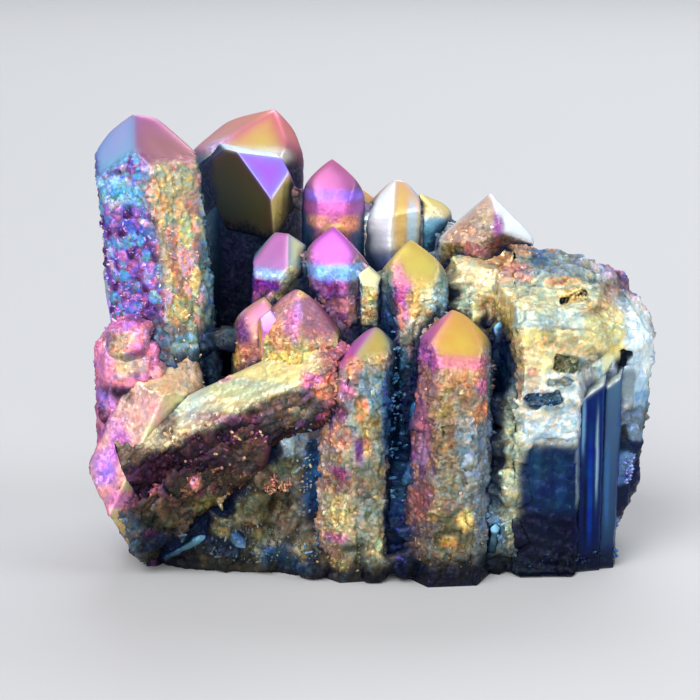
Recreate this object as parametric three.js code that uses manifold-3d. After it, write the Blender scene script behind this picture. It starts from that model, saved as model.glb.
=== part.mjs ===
// An aura quartz cluster: a hand-sized group of quartz crystals grown together as one piece,
// broken off flat below so that it stands. Millimetres, +Z up, front towards -Y. The origin is
// the middle of the cut base. All crystals share one root, so the cluster is a single solid.
import * as THREE from 'three';
import { mergeVertices } from 'three/addons/utils/BufferGeometryUtils.js';
import Module from 'manifold-3d';

// Driving dimensions, in millimetres and degrees. Points are [right, back, up], measured from
// the front of the cut base; the cluster is centred on its base at the very end.
const FACE_PITCH = 38.2;        // how far a quartz terminal face leans in from the prism
const CUT_SIZE = 120;           // side of the block that cuts a flat face
const COAT = { color: 0xb98fa8, roughness: 0.3, metalness: 1.0 };

const wasm = await Module();
wasm.setup();

// ---------------------------------------------------------------- solids and cuts

// Turns a closed three.js geometry, placed by a matrix, into a solid that can be joined.
function solid(geometry, matrix = new THREE.Matrix4()) {
  const shape = geometry.clone();
  shape.applyMatrix4(matrix);
  shape.deleteAttribute('normal');
  shape.deleteAttribute('uv');
  const merged = mergeVertices(shape, 1e-4);
  const vertProperties = new Float32Array(merged.attributes.position.array);
  const triVerts = new Uint32Array(merged.index.array);
  return new wasm.Manifold(new wasm.Mesh({ numProp: 3, vertProperties, triVerts }));
}

// A matrix that stands local +Z along a direction at a point, spun about that direction.
function standing(point, direction, spin = 0) {
  const up = new THREE.Vector3(0, 0, 1);
  const lean = new THREE.Quaternion().setFromUnitVectors(up, direction.clone().normalize());
  const twist = new THREE.Quaternion().setFromAxisAngle(up, THREE.MathUtils.degToRad(spin));
  return new THREE.Matrix4().compose(point, lean.multiply(twist), new THREE.Vector3(1, 1, 1));
}

// Cuts away everything beyond a plane through a point.
function cutBeyond(body, point, normal) {
  const block = new THREE.BoxGeometry(CUT_SIZE, CUT_SIZE, CUT_SIZE);
  block.translate(0, 0, CUT_SIZE / 2);
  return body.subtract(solid(block, standing(point, normal)));
}

// ---------------------------------------------------------------- crystals

// Where a crystal stands: its foot, its axis and its length.
function frameOf({ foot, tip }) {
  const from = new THREE.Vector3(...foot);
  const axis = new THREE.Vector3(...tip).sub(from);
  return { matrix: standing(from, axis), length: axis.length() };
}

// The terminal faces of a crystal, as [azimuth, pitch, rise]: where the face looks, how far it
// leans in, and how far it is lifted off the peak. Without a list there are six, every 60
// degrees from turn, of which three are broad and three are narrow.
function endsOf({ turn = -90, ends, rises = [0, 2, 0, 1.5, 0.4, 2] }) {
  return ends ?? rises.map((rise, face) => [turn + 60 * face, FACE_PITCH, rise]);
}

// A six-sided prism, across wide and deep thick at the shoulder and wider by spread at the
// foot, closed by its terminal faces, which meet at the peak, off the axis by [right, back].
function crystal(spec) {
  const { across, deep = across, spread = 1.1, turn = -90, peak = [0, 0] } = spec;
  const { matrix, length } = frameOf(spec);
  const radius = 0.5 / Math.cos(Math.PI / 6);
  const prism = new THREE.CylinderGeometry(radius, radius * spread, length + across, 6);
  prism.rotateX(Math.PI / 2);
  prism.rotateZ(THREE.MathUtils.degToRad(turn));
  prism.scale(across, deep, 1);
  prism.translate(0, 0, (length + across) / 2);
  let body = solid(prism);
  for (const [azimuth, pitch, rise] of endsOf(spec)) {
    const look = THREE.MathUtils.degToRad(azimuth);
    const lean = THREE.MathUtils.degToRad(pitch);
    const normal = new THREE.Vector3(Math.cos(look), Math.sin(look), 0);
    normal.multiplyScalar(Math.cos(lean)).setZ(Math.sin(lean));
    body = cutBeyond(body, new THREE.Vector3(...peak, length + rise), normal);
  }
  return body.transform(matrix.toArray());
}

// A rounded lump: a faceted ball of a given width, depth and height.
function lump({ at, size }) {
  const ball = new THREE.IcosahedronGeometry(0.5, 1);
  ball.scale(...size);
  ball.translate(...at);
  return solid(ball);
}

// A repeatable chance between 0 and 1 for the nth thing that grew.
function chance(n) {
  const wave = Math.sin(n * 127.1 + 11.7) * 43758.5453;
  return wave - Math.floor(wave);
}

// An angular grain: a clot with twenty facets, turned its own way.
function grain(at, size, n) {
  const clot = new THREE.IcosahedronGeometry(0.53, 0);
  clot.rotateX(3 * chance(n));
  clot.rotateY(3 * chance(n + 0.3));
  clot.scale(size, size, size * (0.9 + 0.5 * chance(n + 0.6)));
  clot.translate(...at);
  return solid(clot);
}

// Growth blocks on one prism face of a crystal: staggered rows of low bricks, each tipped a
// little, between two heights along the axis.
function growthBlocks(spec, { azimuth, from, to, columns, rows, proud, reach = 1, fill = 0.86 }) {
  const { across, deep = across, spread = 1.1 } = spec;
  const { matrix, length } = frameOf(spec);
  const look = THREE.MathUtils.degToRad(azimuth);
  const blocks = [];
  for (let row = 0; row < rows; row += 1) {
    const along = from + ((to - from) * (row + 0.5)) / rows;
    const girth = 1 + (spread - 1) * (1 - along / (length + across));
    const side = reach * girth * across * Math.tan(Math.PI / 6);
    const out = new THREE.Vector3(Math.cos(look) * across, Math.sin(look) * deep, 0);
    out.multiplyScalar(girth / 2);
    for (let column = 0; column < columns; column += 1) {
      const n = azimuth + row * 13 + column * 3.7;
      const shift = (column + 0.5 + 0.5 * (row % 2) - 0.25) / columns - 0.5;
      const size = [(side / columns) * (fill + 0.2 * chance(n)), 2 * proud + 0.8,
        ((to - from) / rows) * (fill + 0.24 * chance(n + 1))];
      const block = new THREE.BoxGeometry(...size);
      block.rotateX(0.24 * (chance(n + 2) - 0.7));
      block.rotateY(0.6 * (chance(n + 3) - 0.5));
      block.translate(shift * side, proud * (0.35 - chance(n + 4)) + 0.4, 0);
      block.rotateZ(look + Math.PI / 2);
      block.translate(out.x, out.y, along);
      blocks.push(solid(block, matrix));
    }
  }
  return blocks;
}

// ---------------------------------------------------------------- the cluster

const TALL_LEFT = { foot: [-23.6, 16, 0], tip: [-29.1, 16, 56.6], across: 12.6, deep: 12.4,
  spread: 1.0, turn: -52, peak: [-0.9, -0.5],
  ends: [[-140, 41, 0], [-46, 46, 0], [100, 42, 0], [20, 38, 3], [170, 38, 2.5]] };
const FRONT_ORANGE = { foot: [8.9, 6.2, 0], tip: [9.9, 6, 33.2], across: 7.4, deep: 8.6,
  spread: 1.42, turn: -84,
  ends: [[-84, 40, 0], [-150, 42, 0.2], [-20, 40, 1.2], [60, 40, 0.5], [140, 40, 1.5]] };
const FRONT_CENTRE = { foot: [-2.6, 6.6, 0], tip: [-1.9, 7.4, 31], across: 8.6, deep: 8.4,
  spread: 1.1, turn: -78, peak: [1.6, -1],
  ends: [[-70, 44, 0], [-140, 46, 0], [-10, 40, 1.2], [70, 40, 1], [160, 44, 1]] };
const SLAB = { foot: [-30, 8.5, 12.6], tip: [-2, 7.5, 26.6], across: 9.6, deep: 10,
  spread: 1.1, turn: -80, rises: [2, 0, 1, 1, 3, 3] };
const SLAB_FOOT = { foot: [-33, 8.6, 4.4], tip: [-10.8, 7, 21.4], across: 9.6, deep: 8.6,
  spread: 1.15, turn: -80, rises: [2, 0, 1, 1, 3, 3] };
const LEFT_RIDGE = { foot: [-36.2, 6.8, 0], tip: [-23.6, 11.8, 27.4], across: 9.6, deep: 9.6,
  turn: -60, spread: 1.05, rises: [1, 2, 2, 1, 0, 0] };

const CRYSTALS = [
  TALL_LEFT, FRONT_ORANGE, FRONT_CENTRE, SLAB, SLAB_FOOT, LEFT_RIDGE,
  // Behind: the broad crystal, the one that points forwards, and the row of domes.
  { foot: [-17.6, 32, 0], tip: [-16.4, 33, 54.8], across: 12.8, deep: 12, turn: -90,
    peak: [3.4, 0], ends: [[-90, 42, 0], [-160, 62, 0.2], [-20, 36, 0], [60, 40, 2]] },
  { foot: [-17.5, 31, 45], tip: [-15.6, 18.6, 45.4], across: 11.6, deep: 10, turn: 90,
    peak: [2.6, 0], ends: [[90, 60, 0], [205, 35.5, 0], [0, 45, 0]] },
  { foot: [-5.2, 22, 0], tip: [-5.2, 22, 50.2], across: 7.4, deep: 8, turn: -92 },
  { foot: [1.4, 24, 0], tip: [2, 24, 47], across: 7.8, deep: 7.5, turn: -58, peak: [1, -0.4],
    ends: [[-122, 40, 0.3], [-60, 38, 0], [0, 40, 1], [100, 42, 0], [180, 40, 1]] },
  { foot: [7.6, 26, 0], tip: [7.2, 26, 44.6], across: 5.4, deep: 6.5, turn: -75, peak: [-1, 0],
    ends: [[-20, 56, 0], [-100, 50, 0.5], [100, 40, 1], [190, 36, 0.5]] },
  { foot: [10, 22, 0], tip: [14.8, 21.4, 45.2], across: 11.4, deep: 10, turn: -120,
    ends: [[-126, 44, 0], [-42, 52, 0], [20, 46, 0.6], [90, 42, 1], [170, 42, 0.4]] },
  // The second row.
  { foot: [-4.2, 14, 0], tip: [-4.6, 14, 42.6], across: 7.8, deep: 7.6, turn: -103,
    peak: [-0.4, 0] },
  { foot: [5.4, 12.5, 0], tip: [4.6, 12.5, 41.2], across: 8, deep: 8, turn: -84 },
  { foot: [-13, 16, 0], tip: [-11.8, 16, 41.3], across: 6.6, deep: 7, turn: -118,
    peak: [0.8, 0], rises: [0, 0.3, 2, 0, 2, 2] },
  { foot: [-15.4, 12.5, 0], tip: [-14, 12, 34.2], across: 6.6, deep: 7, turn: -110,
    peak: [0.4, 0] },
  { foot: [-9.4, 9.5, 0], tip: [-8.8, 8.6, 35.6], across: 9, deep: 8, turn: -65,
    peak: [-0.3, 0], rises: [0, 1, 0, 1, 2, 0] },
  // The blunt crystal at the left edge, and the small points in the pocket under the slab.
  { foot: [-30, 13, 0], tip: [-30.6, 11.5, 32.6], across: 9, deep: 9, spread: 1.0 },
  { foot: [-11, 8, 9], tip: [-10.4, 4.6, 19], across: 3.2, turn: -100 },
  { foot: [-13.6, 8, 6], tip: [-14.2, 4.4, 15], across: 3, turn: -70 },
  { foot: [15, 12, 18], tip: [15, 9.6, 31], across: 2.4, turn: -80 },
  { foot: [12.4, 13, 20], tip: [12.4, 10.6, 31.6], across: 2, turn: -60 },
  // Behind, seen only from the back and the sides.
  { foot: [-25, 25, 0], tip: [-31.6, 28.6, 40], across: 8.5, turn: -70 },
  { foot: [-20, 31, 0], tip: [-27.4, 39.6, 29], across: 8.4, turn: -40 },
  { foot: [-9, 34, 0], tip: [-8.4, 40.4, 41], across: 8.6, turn: -75 },
  { foot: [-14.6, 35, 0], tip: [-17, 43, 24], across: 6.4, turn: -55 },
  { foot: [1, 32, 0], tip: [2, 38.6, 34], across: 8.2, turn: -50 },
  { foot: [9, 31, 0], tip: [12, 34.4, 39], across: 7.6, turn: -85 },
  { foot: [7.6, 33, 0], tip: [9, 42, 24.6], across: 6.8, turn: -65 },
  { foot: [17, 28, 0], tip: [21, 35.4, 31], across: 8.4, turn: -60 },
  { foot: [24, 26, 0], tip: [31, 31, 27], across: 8.6, turn: -80 },
  { foot: [-2, 28, 0], tip: [-2, 29, 45], across: 6.4, turn: -80 },
  { foot: [26, 24, 0], tip: [28.6, 25, 34.6], across: 6.4, turn: -50 },
];

// The four broken stubs that make the block at the right, and the planes they broke along:
// each a point and the direction that the break looks in.
const STUBS = [
  { foot: [21, 9.8, 0], tip: [21.6, 11.5, 50], across: 11.6, deep: 12.5, turn: -88, spread: 1.0 },
  { foot: [27, 13, 0], tip: [27.6, 13.6, 50], across: 9, deep: 12, turn: -76, spread: 0.95 },
  { foot: [28.8, 15, 0], tip: [33, 15.5, 50], across: 8.4, deep: 12, turn: -60, spread: 0.9 },
  { foot: [23, 20, 0], tip: [24, 20.5, 50], across: 13, deep: 12, turn: -80, spread: 1.0 },
];
const BLOCK_BREAKS = [
  { at: [21, 16, 39.2], look: [0.02, -0.5, 0.86] },
  { at: [26, 16, 38.4], look: [0.42, -0.45, 0.8] },
  { at: [30.4, 15, 33.4], look: [0.62, -0.3, 0.72] },
  { at: [22, 5.2, 31], look: [0, -0.86, 0.5] },
  { at: [24, 17, 38.4], look: [0.1, 0.45, 0.85] },
];
const CORNER_BREAKS = [
  { at: [-35.4, 9, 12], look: [-0.87, -0.1, -0.48] },
  { at: [35.2, 11, 14], look: [0.9, -0.1, -0.42] },
  { at: [35.4, 11, 22], look: [1, 0, 0.02] },
  { at: [-35.4, 11, 20], look: [-1, 0, 0] },
];

// The root that all the crystals share, and two rounded knobs at the left edge.
const ROOTS = [
  { at: [-18, 18, 4], size: [30, 26, 26] },
  { at: [-2, 19, 6], size: [34, 32, 34] },
  { at: [16, 19, 6], size: [36, 30, 34] },
  { at: [0, 30, 3], size: [52, 24, 26] },
  { at: [-13, 11, 3], size: [24, 12, 20] },
  { at: [-4, 18, 22], size: [26, 14, 26] },
  { at: [-30.6, 10.4, 27.4], size: [9.4, 8, 9.6] },
  { at: [-31.2, 10.4, 20], size: [8.4, 8, 8.6] },
];

// Swells on the broken top of the block, where it parted in curved steps.
const SWELLS = [
  { at: [21, 12.6, 33.6], size: [11, 9, 8.6] },
  { at: [20.2, 8, 30.4], size: [9, 6.4, 7.6] },
  { at: [26.4, 12.4, 32], size: [8, 10, 8] },
  { at: [25.4, 7.6, 29.4], size: [8, 6, 6.6] },
  { at: [30.6, 12.6, 28], size: [8.4, 9, 8] },
];

// Clots of small crystals: the rough shoulder between the upper right crystal and the block,
// the crust at the left edge, the lumps under the slab and the block's rough left flank.
// Each is [right, back, up, size].
const CLOTS = [
  [11.6, 16.5, 35, 7.6], [15.4, 16, 34.6, 8.8], [19, 15.6, 34.6, 8.6], [12.6, 14, 31.6, 6.6],
  [16.4, 13.6, 31.8, 6.4], [18.8, 11.6, 32.4, 5.4], [14.4, 17, 37, 5], [17.6, 17, 37.6, 4.6],
  [-28, 9.8, 24.2, 6], [-32, 8.6, 15, 6.4], [-26, 11, 24.6, 4.6], [-23.4, 12, 26, 4],
  [-21.4, 12.4, 27.4, 3.6], [-18.6, 11.4, 28.6, 3.6], [-6, 7, 13, 5.4], [-8.4, 6.4, 8.6, 5],
  [-15, 6, 8.4, 5.6], [-18.4, 5.6, 6, 5], [-11.4, 6.6, 12.6, 4.4],
  [17.2, 6.6, 21, 5.2], [17.4, 6.4, 16.4, 6], [17, 6, 11, 6.2], [17, 5.4, 5, 5],
];

// Hollows: slits and pits in the block, its cut-back foot, and the slanting cleft beside it.
const HOLLOWS = [
  { at: [23.4, 3.6, 26.8], size: [3, 4, 1.8], tilt: 0.25 },
  { at: [22.6, 3.6, 24.6], size: [3.2, 3, 1], tilt: 0.1 },
  { at: [20.6, 3.6, 22.4], size: [4.4, 4, 1.7], tilt: -0.2 },
  { at: [24.4, 8.9, 34.4], size: [3.6, 3, 1], tilt: -0.1 },
  { at: [21.4, 1.8, 9], size: [13, 6, 17.2], tilt: 0 },
  { at: [29.6, 7, 15.4], size: [1.4, 8, 25], tilt: 0.13 },
  { at: [33, 8.4, 16.6], size: [2.8, 5, 3], tilt: -0.3 },
  { at: [-30.4, 5.2, 27.8], size: [3.2, 1.6, 0.9], tilt: 0.5 },
];

// Angular grains crust the foot of the cluster, all round: [from, to] degrees seen from the
// middle, at a distance from it that follows the outline of the base.
const BASE_MIDDLE = [0, 21];
const BASE_REACH = [31, 18.4];
const GRAIN_RINGS = [
  { height: 2, count: 30, size: 5, inset: 0.2 },
  { height: 6.4, count: 22, size: 4.6, inset: 1.2 },
  { height: 11, count: 14, size: 4.4, inset: 2.4 },
];

const BLOCKWORK = [
  [TALL_LEFT, { azimuth: -112, from: 27.4, to: 48.6, columns: 3, rows: 9, proud: 0.45 }],
  [TALL_LEFT, { azimuth: -52, from: 25, to: 48.6, columns: 3, rows: 6, proud: 0.4 }],
  [FRONT_ORANGE, { azimuth: -84, from: 3, to: 25.6, columns: 3, rows: 5, proud: 0.55 }],
  [FRONT_ORANGE, { azimuth: -144, from: 4, to: 25.6, columns: 2, rows: 6, proud: 0.5 }],
  [FRONT_CENTRE, { azimuth: -78, from: 3, to: 25.6, columns: 2, rows: 6, proud: 0.5 }],
  [FRONT_CENTRE, { azimuth: -138, from: 6, to: 25.6, columns: 2, rows: 6, proud: 0.5 }],
  [SLAB, { azimuth: -80, from: 4, to: 26, columns: 3, rows: 7, proud: 0.6 }],
  [SLAB_FOOT, { azimuth: -80, from: 4, to: 20, columns: 2, rows: 5, proud: 0.6 }],
];

function breakAlong(body, breaks) {
  return breaks.reduce((left, { at, look }) =>
    cutBeyond(left, new THREE.Vector3(...at), new THREE.Vector3(...look)), body);
}

function hollow({ at, size, tilt }) {
  const pit = new THREE.BoxGeometry(...size);
  pit.rotateY(tilt);
  pit.translate(...at);
  return solid(pit);
}

function baseGrains() {
  const grains = [];
  GRAIN_RINGS.forEach(({ height, count, size, inset }, ring) => {
    for (let i = 0; i < count; i += 1) {
      const n = ring * 50 + i;
      const around = ((i + 0.6 * chance(n)) / count) * 2 * Math.PI;
      const out = 1 - (inset + 1.6 * chance(n + 0.5)) / BASE_REACH[1];
      const at = [BASE_MIDDLE[0] + Math.cos(around) * BASE_REACH[0] * out,
        BASE_MIDDLE[1] + Math.sin(around) * BASE_REACH[1] * out,
        height + 1.6 * (chance(n + 0.8) - 0.5)];
      grains.push(grain(at, size * (0.75 + 0.5 * chance(n + 0.2)), n));
    }
  });
  return grains;
}

const block = STUBS.map((spec) => breakAlong(crystal(spec), BLOCK_BREAKS));
const grown = [...CRYSTALS.map(crystal), ...block, ...[...ROOTS, ...SWELLS].map(lump)];
let cluster = grown.reduce((joined, body) => joined.add(body));
cluster = HOLLOWS.map(hollow).reduce((left, pit) => left.subtract(pit), cluster);
const clots = CLOTS.map(([x, y, z, size], n) => grain([x, y, z], size, n + 200));
const bricks = BLOCKWORK.flatMap(([spec, rows]) => growthBlocks(spec, rows));
const crust = [...clots, ...bricks, ...baseGrains()];
cluster = crust.reduce((joined, body) => joined.add(body), cluster);
cluster = breakAlong(cluster, CORNER_BREAKS);
cluster = cutBeyond(cluster, new THREE.Vector3(0, 0, 0), new THREE.Vector3(0, 0, -1));

// ---------------------------------------------------------------- the mesh

function geometryOf(body) {
  const { numProp, vertProperties, triVerts } = body.getMesh();
  const geometry = new THREE.BufferGeometry();
  const positions = new Float32Array((vertProperties.length / numProp) * 3);
  for (let i = 0; i < positions.length / 3; i += 1) {
    positions.set(vertProperties.subarray(i * numProp, i * numProp + 3), i * 3);
  }
  geometry.setAttribute('position', new THREE.BufferAttribute(positions, 3));
  geometry.setIndex(new THREE.BufferAttribute(new Uint32Array(triVerts), 1));
  geometry.computeVertexNormals();
  geometry.computeBoundingBox();
  return geometry;
}

const geometry = geometryOf(cluster);
const quartz = new THREE.Mesh(geometry, new THREE.MeshStandardMaterial(COAT));
quartz.name = 'quartz_cluster';
const middle = geometry.boundingBox.getCenter(new THREE.Vector3());
quartz.position.set(-middle.x, -middle.y, 0);

const part = new THREE.Group();
part.add(quartz);

export default part;
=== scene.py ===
import itertools
import math

import bmesh
import bpy
import numpy as np
from mathutils import Matrix, Vector
from mathutils.bvhtree import BVHTree


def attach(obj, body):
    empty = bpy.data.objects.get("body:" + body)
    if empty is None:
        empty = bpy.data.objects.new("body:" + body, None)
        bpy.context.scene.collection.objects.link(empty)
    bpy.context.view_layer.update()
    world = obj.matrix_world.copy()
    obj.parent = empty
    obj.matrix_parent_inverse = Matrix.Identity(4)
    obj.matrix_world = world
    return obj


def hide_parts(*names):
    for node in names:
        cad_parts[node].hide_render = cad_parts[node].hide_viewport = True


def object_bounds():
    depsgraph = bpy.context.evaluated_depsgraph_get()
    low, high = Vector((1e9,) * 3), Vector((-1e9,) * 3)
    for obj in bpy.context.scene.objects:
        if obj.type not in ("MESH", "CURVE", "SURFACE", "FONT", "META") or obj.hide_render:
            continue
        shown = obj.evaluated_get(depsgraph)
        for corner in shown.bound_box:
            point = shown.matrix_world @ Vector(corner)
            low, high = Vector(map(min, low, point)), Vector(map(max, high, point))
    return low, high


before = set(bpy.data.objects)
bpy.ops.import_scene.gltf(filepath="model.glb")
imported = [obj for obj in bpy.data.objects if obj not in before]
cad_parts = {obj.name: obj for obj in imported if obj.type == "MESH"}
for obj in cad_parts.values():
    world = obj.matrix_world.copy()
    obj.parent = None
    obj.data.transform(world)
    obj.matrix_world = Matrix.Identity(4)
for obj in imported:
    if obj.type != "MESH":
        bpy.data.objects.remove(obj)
cad_low, cad_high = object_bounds()
cluster_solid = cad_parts["quartz_cluster"]

# ------------------------------------------------------------------ the place it stands in
# A plain pale table top under soft lights: a broad one high at the left, lamps in front and
# at the right, and one behind that edges the crystals. The camera looks slightly down.

MM = 0.001
# The left crystals are broken off at the solid's left limit, and its foremost block stands
# out a little in front of the cut base. Everything is measured from the front of the base.
LEFT_BREAK, FOREMOST_BLOCK = -35.4, -0.77
measured_from = Vector(
    (cad_low.x - LEFT_BREAK * MM, cad_low.y - FOREMOST_BLOCK * MM, cad_low.z)
)


def place(point):
    """A point [right, back, up] in millimetres, from the front of the cut base, in metres."""
    return Vector(point) * MM + measured_from


def added(name, data):
    """A new object in the scene."""
    thing = bpy.data.objects.new(name, data)
    bpy.context.scene.collection.objects.link(thing)
    return thing


def mesh_of(name, bm):
    """A mesh with the shape that a bmesh ended in."""
    mesh = bpy.data.meshes.new(name)
    bm.to_mesh(mesh)
    bm.free()
    return mesh


def studio_light(name, at, aim, size, power, tint):
    """A rectangular lamp that shines from one place at another."""
    lamp = bpy.data.lights.new(name, "AREA")
    lamp.shape = "RECTANGLE"
    lamp.size, lamp.size_y = size
    lamp.energy = power
    lamp.color = tint
    holder = added(name, lamp)
    holder.location = at
    holder.rotation_euler = (aim - at).to_track_quat("-Z", "Y").to_euler()


aim = place((-3.1, 12, 27.1))
CAMERA_RISE, CAMERA_DISTANCE, CAMERA_LENS = math.radians(12), 0.2917, 120
camera_data = bpy.data.cameras.new("camera")
camera_data.lens = CAMERA_LENS
camera_data.clip_start = 0.01
camera = added("camera", camera_data)
towards = Vector((0, -math.cos(CAMERA_RISE), math.sin(CAMERA_RISE)))
camera.location = aim + towards * CAMERA_DISTANCE
camera.rotation_euler = (-towards).to_track_quat("-Z", "Y").to_euler()
bpy.context.scene.camera = camera
bpy.context.scene.view_settings.view_transform = "Standard"

sun = bpy.data.lights.new("key", "SUN")
sun.energy = 2.0
sun.angle = math.radians(40)
key = added("key", sun)
key.rotation_euler = Vector((0.45, 0.62, -0.95)).to_track_quat("-Z", "Y").to_euler()
studio_light("front", Vector((-0.25, -1.2, 0.5)), aim, (1.2, 0.8), 13, (1, 0.99, 0.98))
studio_light("right", Vector((1.2, -0.35, 0.7)), aim, (0.8, 1), 9, (0.9, 0.95, 1))
studio_light("edge", Vector((0.25, 1, 1)), aim, (1.2, 0.6), 10, (0.92, 0.96, 1))

world = bpy.data.worlds.new("studio")
world.use_nodes = True
world.node_tree.nodes["Background"].inputs["Color"].default_value = (0.5, 0.52, 0.56, 1)
world.node_tree.nodes["Background"].inputs["Strength"].default_value = 0.34
bpy.context.scene.world = world

FLOOR_SIZE = 9.0
bm = bmesh.new()
bmesh.ops.create_grid(bm, x_segments=1, y_segments=1, size=FLOOR_SIZE / 2)
bmesh.ops.translate(bm, verts=bm.verts, vec=(0, 0, cad_low.z))
floor = added("table_top", mesh_of("table_top", bm))
pale = bpy.data.materials.new("pale_table")
pale.use_nodes = True
pale.node_tree.nodes["Principled BSDF"].inputs["Base Color"].default_value = (0.55, 0.55, 0.56, 1)
pale.node_tree.nodes["Principled BSDF"].inputs["Roughness"].default_value = 0.6
floor.data.materials.append(pale)

# ------------------------------------------------------------------ the tall left crystal
# Quartz with a titanium film a few hundred nanometres thick, whose colour follows its
# thickness. The tip has smooth faces and the prism below is built of staggered blocks.
# This section holds what every crystal is made with: noise, growth and the coat.

# Film colours in the order of growing thickness, as red, green and blue from 0 to 255.
FILM = (
    (0.00, (8, 10, 20)), (0.07, (12, 40, 110)), (0.14, (40, 110, 175)), (0.21, (110, 200, 235)),
    (0.28, (195, 222, 228)), (0.35, (234, 224, 170)), (0.42, (220, 194, 104)),
    (0.49, (232, 168, 96)), (0.56, (232, 140, 116)), (0.62, (228, 128, 166)),
    (0.68, (228, 122, 214)), (0.76, (176, 104, 240)), (0.84, (160, 168, 250)),
    (0.91, (130, 226, 250)), (0.96, (90, 170, 160)), (1.00, (140, 150, 96)),
)
BLACK, NAVY, BLUE = (7, 8, 13), (10, 26, 62), (18, 62, 150)
STEEL, CYAN, SKY = (58, 96, 134), (112, 204, 240), (178, 214, 236)
SILVER, GREY, SLATE = (232, 238, 242), (132, 140, 148), (62, 76, 96)
CREAM, STRAW = (238, 228, 184), (228, 212, 140)
GOLD, OLIVE, MOSS = (216, 184, 96), (118, 110, 64), (52, 56, 38)
ORANGE, SALMON, UMBER = (230, 160, 92), (232, 150, 130), (78, 50, 38)
PINK, MAGENTA, MAUVE = (232, 140, 184), (222, 112, 210), (146, 86, 124)
PLUM, PURPLE, VIOLET = (50, 24, 54), (122, 56, 168), (172, 108, 244)


def scrambled(cells, seed=0):
    """A repeatable 32-bit number for each row of whole-numbered cells, mixed by multiplying
    with large primes."""
    mix = np.full(len(cells), seed * 3266489917 + 974634777 & 0xFFFFFFFF, np.uint32)
    for column, step in zip(cells.T, (374761393, 668265263, 2246822519)):
        mix += column.astype(np.int64).astype(np.uint32) * np.uint32(step)
    mix = (mix ^ (mix >> np.uint32(13))) * np.uint32(1274126177)
    mix = (mix ^ (mix >> np.uint32(15))) * np.uint32(2246822519)
    return mix ^ (mix >> np.uint32(16))


def rolls(cells, seed=0):
    """Four repeatable values from 0 to 1 for each cell."""
    mix = scrambled(cells, seed)
    return [((mix >> np.uint32(shift)) & np.uint32(255)) / 255 for shift in (0, 8, 16, 24)]


def clouds(points, size, octaves=3, seed=0):
    """Soft noise from -1 to 1, halving in size and strength with each octave."""
    total, strength = np.zeros(len(points)), 0.5
    for octave in range(octaves):
        scaled = points / size * 2**octave + 17.3 * (octave + seed)
        cell = np.floor(scaled)
        part = scaled - cell
        part = part * part * (3 - 2 * part)
        for corner in itertools.product((0, 1), repeat=3):
            weight = np.prod(np.where(corner, part, 1 - part), axis=1)
            total += strength * weight * (2 * rolls(cell + corner, seed + octave)[0] - 1)
        strength /= 2
    return total


MARGIN, STRAY = 0.15, 0.7
EDGE_SHARPNESS = 6


def facets(points, size, slope=0.5, seed=0):
    """Angular clots: flat-topped cells that are raised and tipped by chance, each round a
    middle that strays by chance. Returns the height as a share of the size, each cell's
    own chance, and 0 at its edge to 1 within."""
    scaled = points / size
    cell = np.floor(scaled - 0.5)
    nearest, second = np.full(len(points), 9.0), np.full(len(points), 9.0)
    height, own = np.zeros(len(points)), np.zeros(len(points))
    for offset in itertools.product((0, 1), repeat=3):
        at = cell + offset
        first, later = rolls(at, seed), rolls(at, seed + 1)
        away = scaled - at - MARGIN - STRAY * np.stack(first[:3], axis=1)
        distance = np.sqrt(np.einsum("ij,ij->i", away, away))
        tip = np.stack(later[:3], axis=1) - 0.5
        raised = first[3] - 0.5 + 2 * slope * np.einsum("ij,ij->i", away, tip)
        closer = distance < nearest
        second = np.where(closer, nearest, np.minimum(second, distance))
        nearest = np.where(closer, distance, nearest)
        height = np.where(closer, raised, height)
        own = np.where(closer, later[3], own)
    return height, own, np.clip((second - nearest) * EDGE_SHARPNESS, 0, 1)


class Node:
    """One socket of a material's node tree, so that shader maths reads as maths."""

    def __init__(self, tree, socket):
        self.tree, self.socket = tree, socket

    def make(self, kind, settings=None, inputs=None, output=0):
        """A new node with its settings and the values or links of its sockets."""
        node = self.tree.nodes.new(kind)
        for name, value in (settings or {}).items():
            setattr(node, name, value)
        for name, value in (inputs or {}).items():
            if isinstance(value, Node):
                self.tree.links.new(value.socket, node.inputs[name])
            else:
                node.inputs[name].default_value = value
        return Node(self.tree, node.outputs[output])

    def maths(self, operation, first, second):
        return self.make("ShaderNodeMath", {"operation": operation}, {0: first, 1: second})

    def vector(self, operation, inputs):
        return self.make("ShaderNodeVectorMath", {"operation": operation}, inputs)

    def __add__(self, other):
        return self.maths("ADD", self, other)

    def __radd__(self, other):
        return self.maths("ADD", other, self)

    def __sub__(self, other):
        return self.maths("SUBTRACT", self, other)

    def __rsub__(self, other):
        return self.maths("SUBTRACT", other, self)

    def __mul__(self, other):
        return self.maths("MULTIPLY", self, other)

    def __rmul__(self, other):
        return self.maths("MULTIPLY", other, self)


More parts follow.
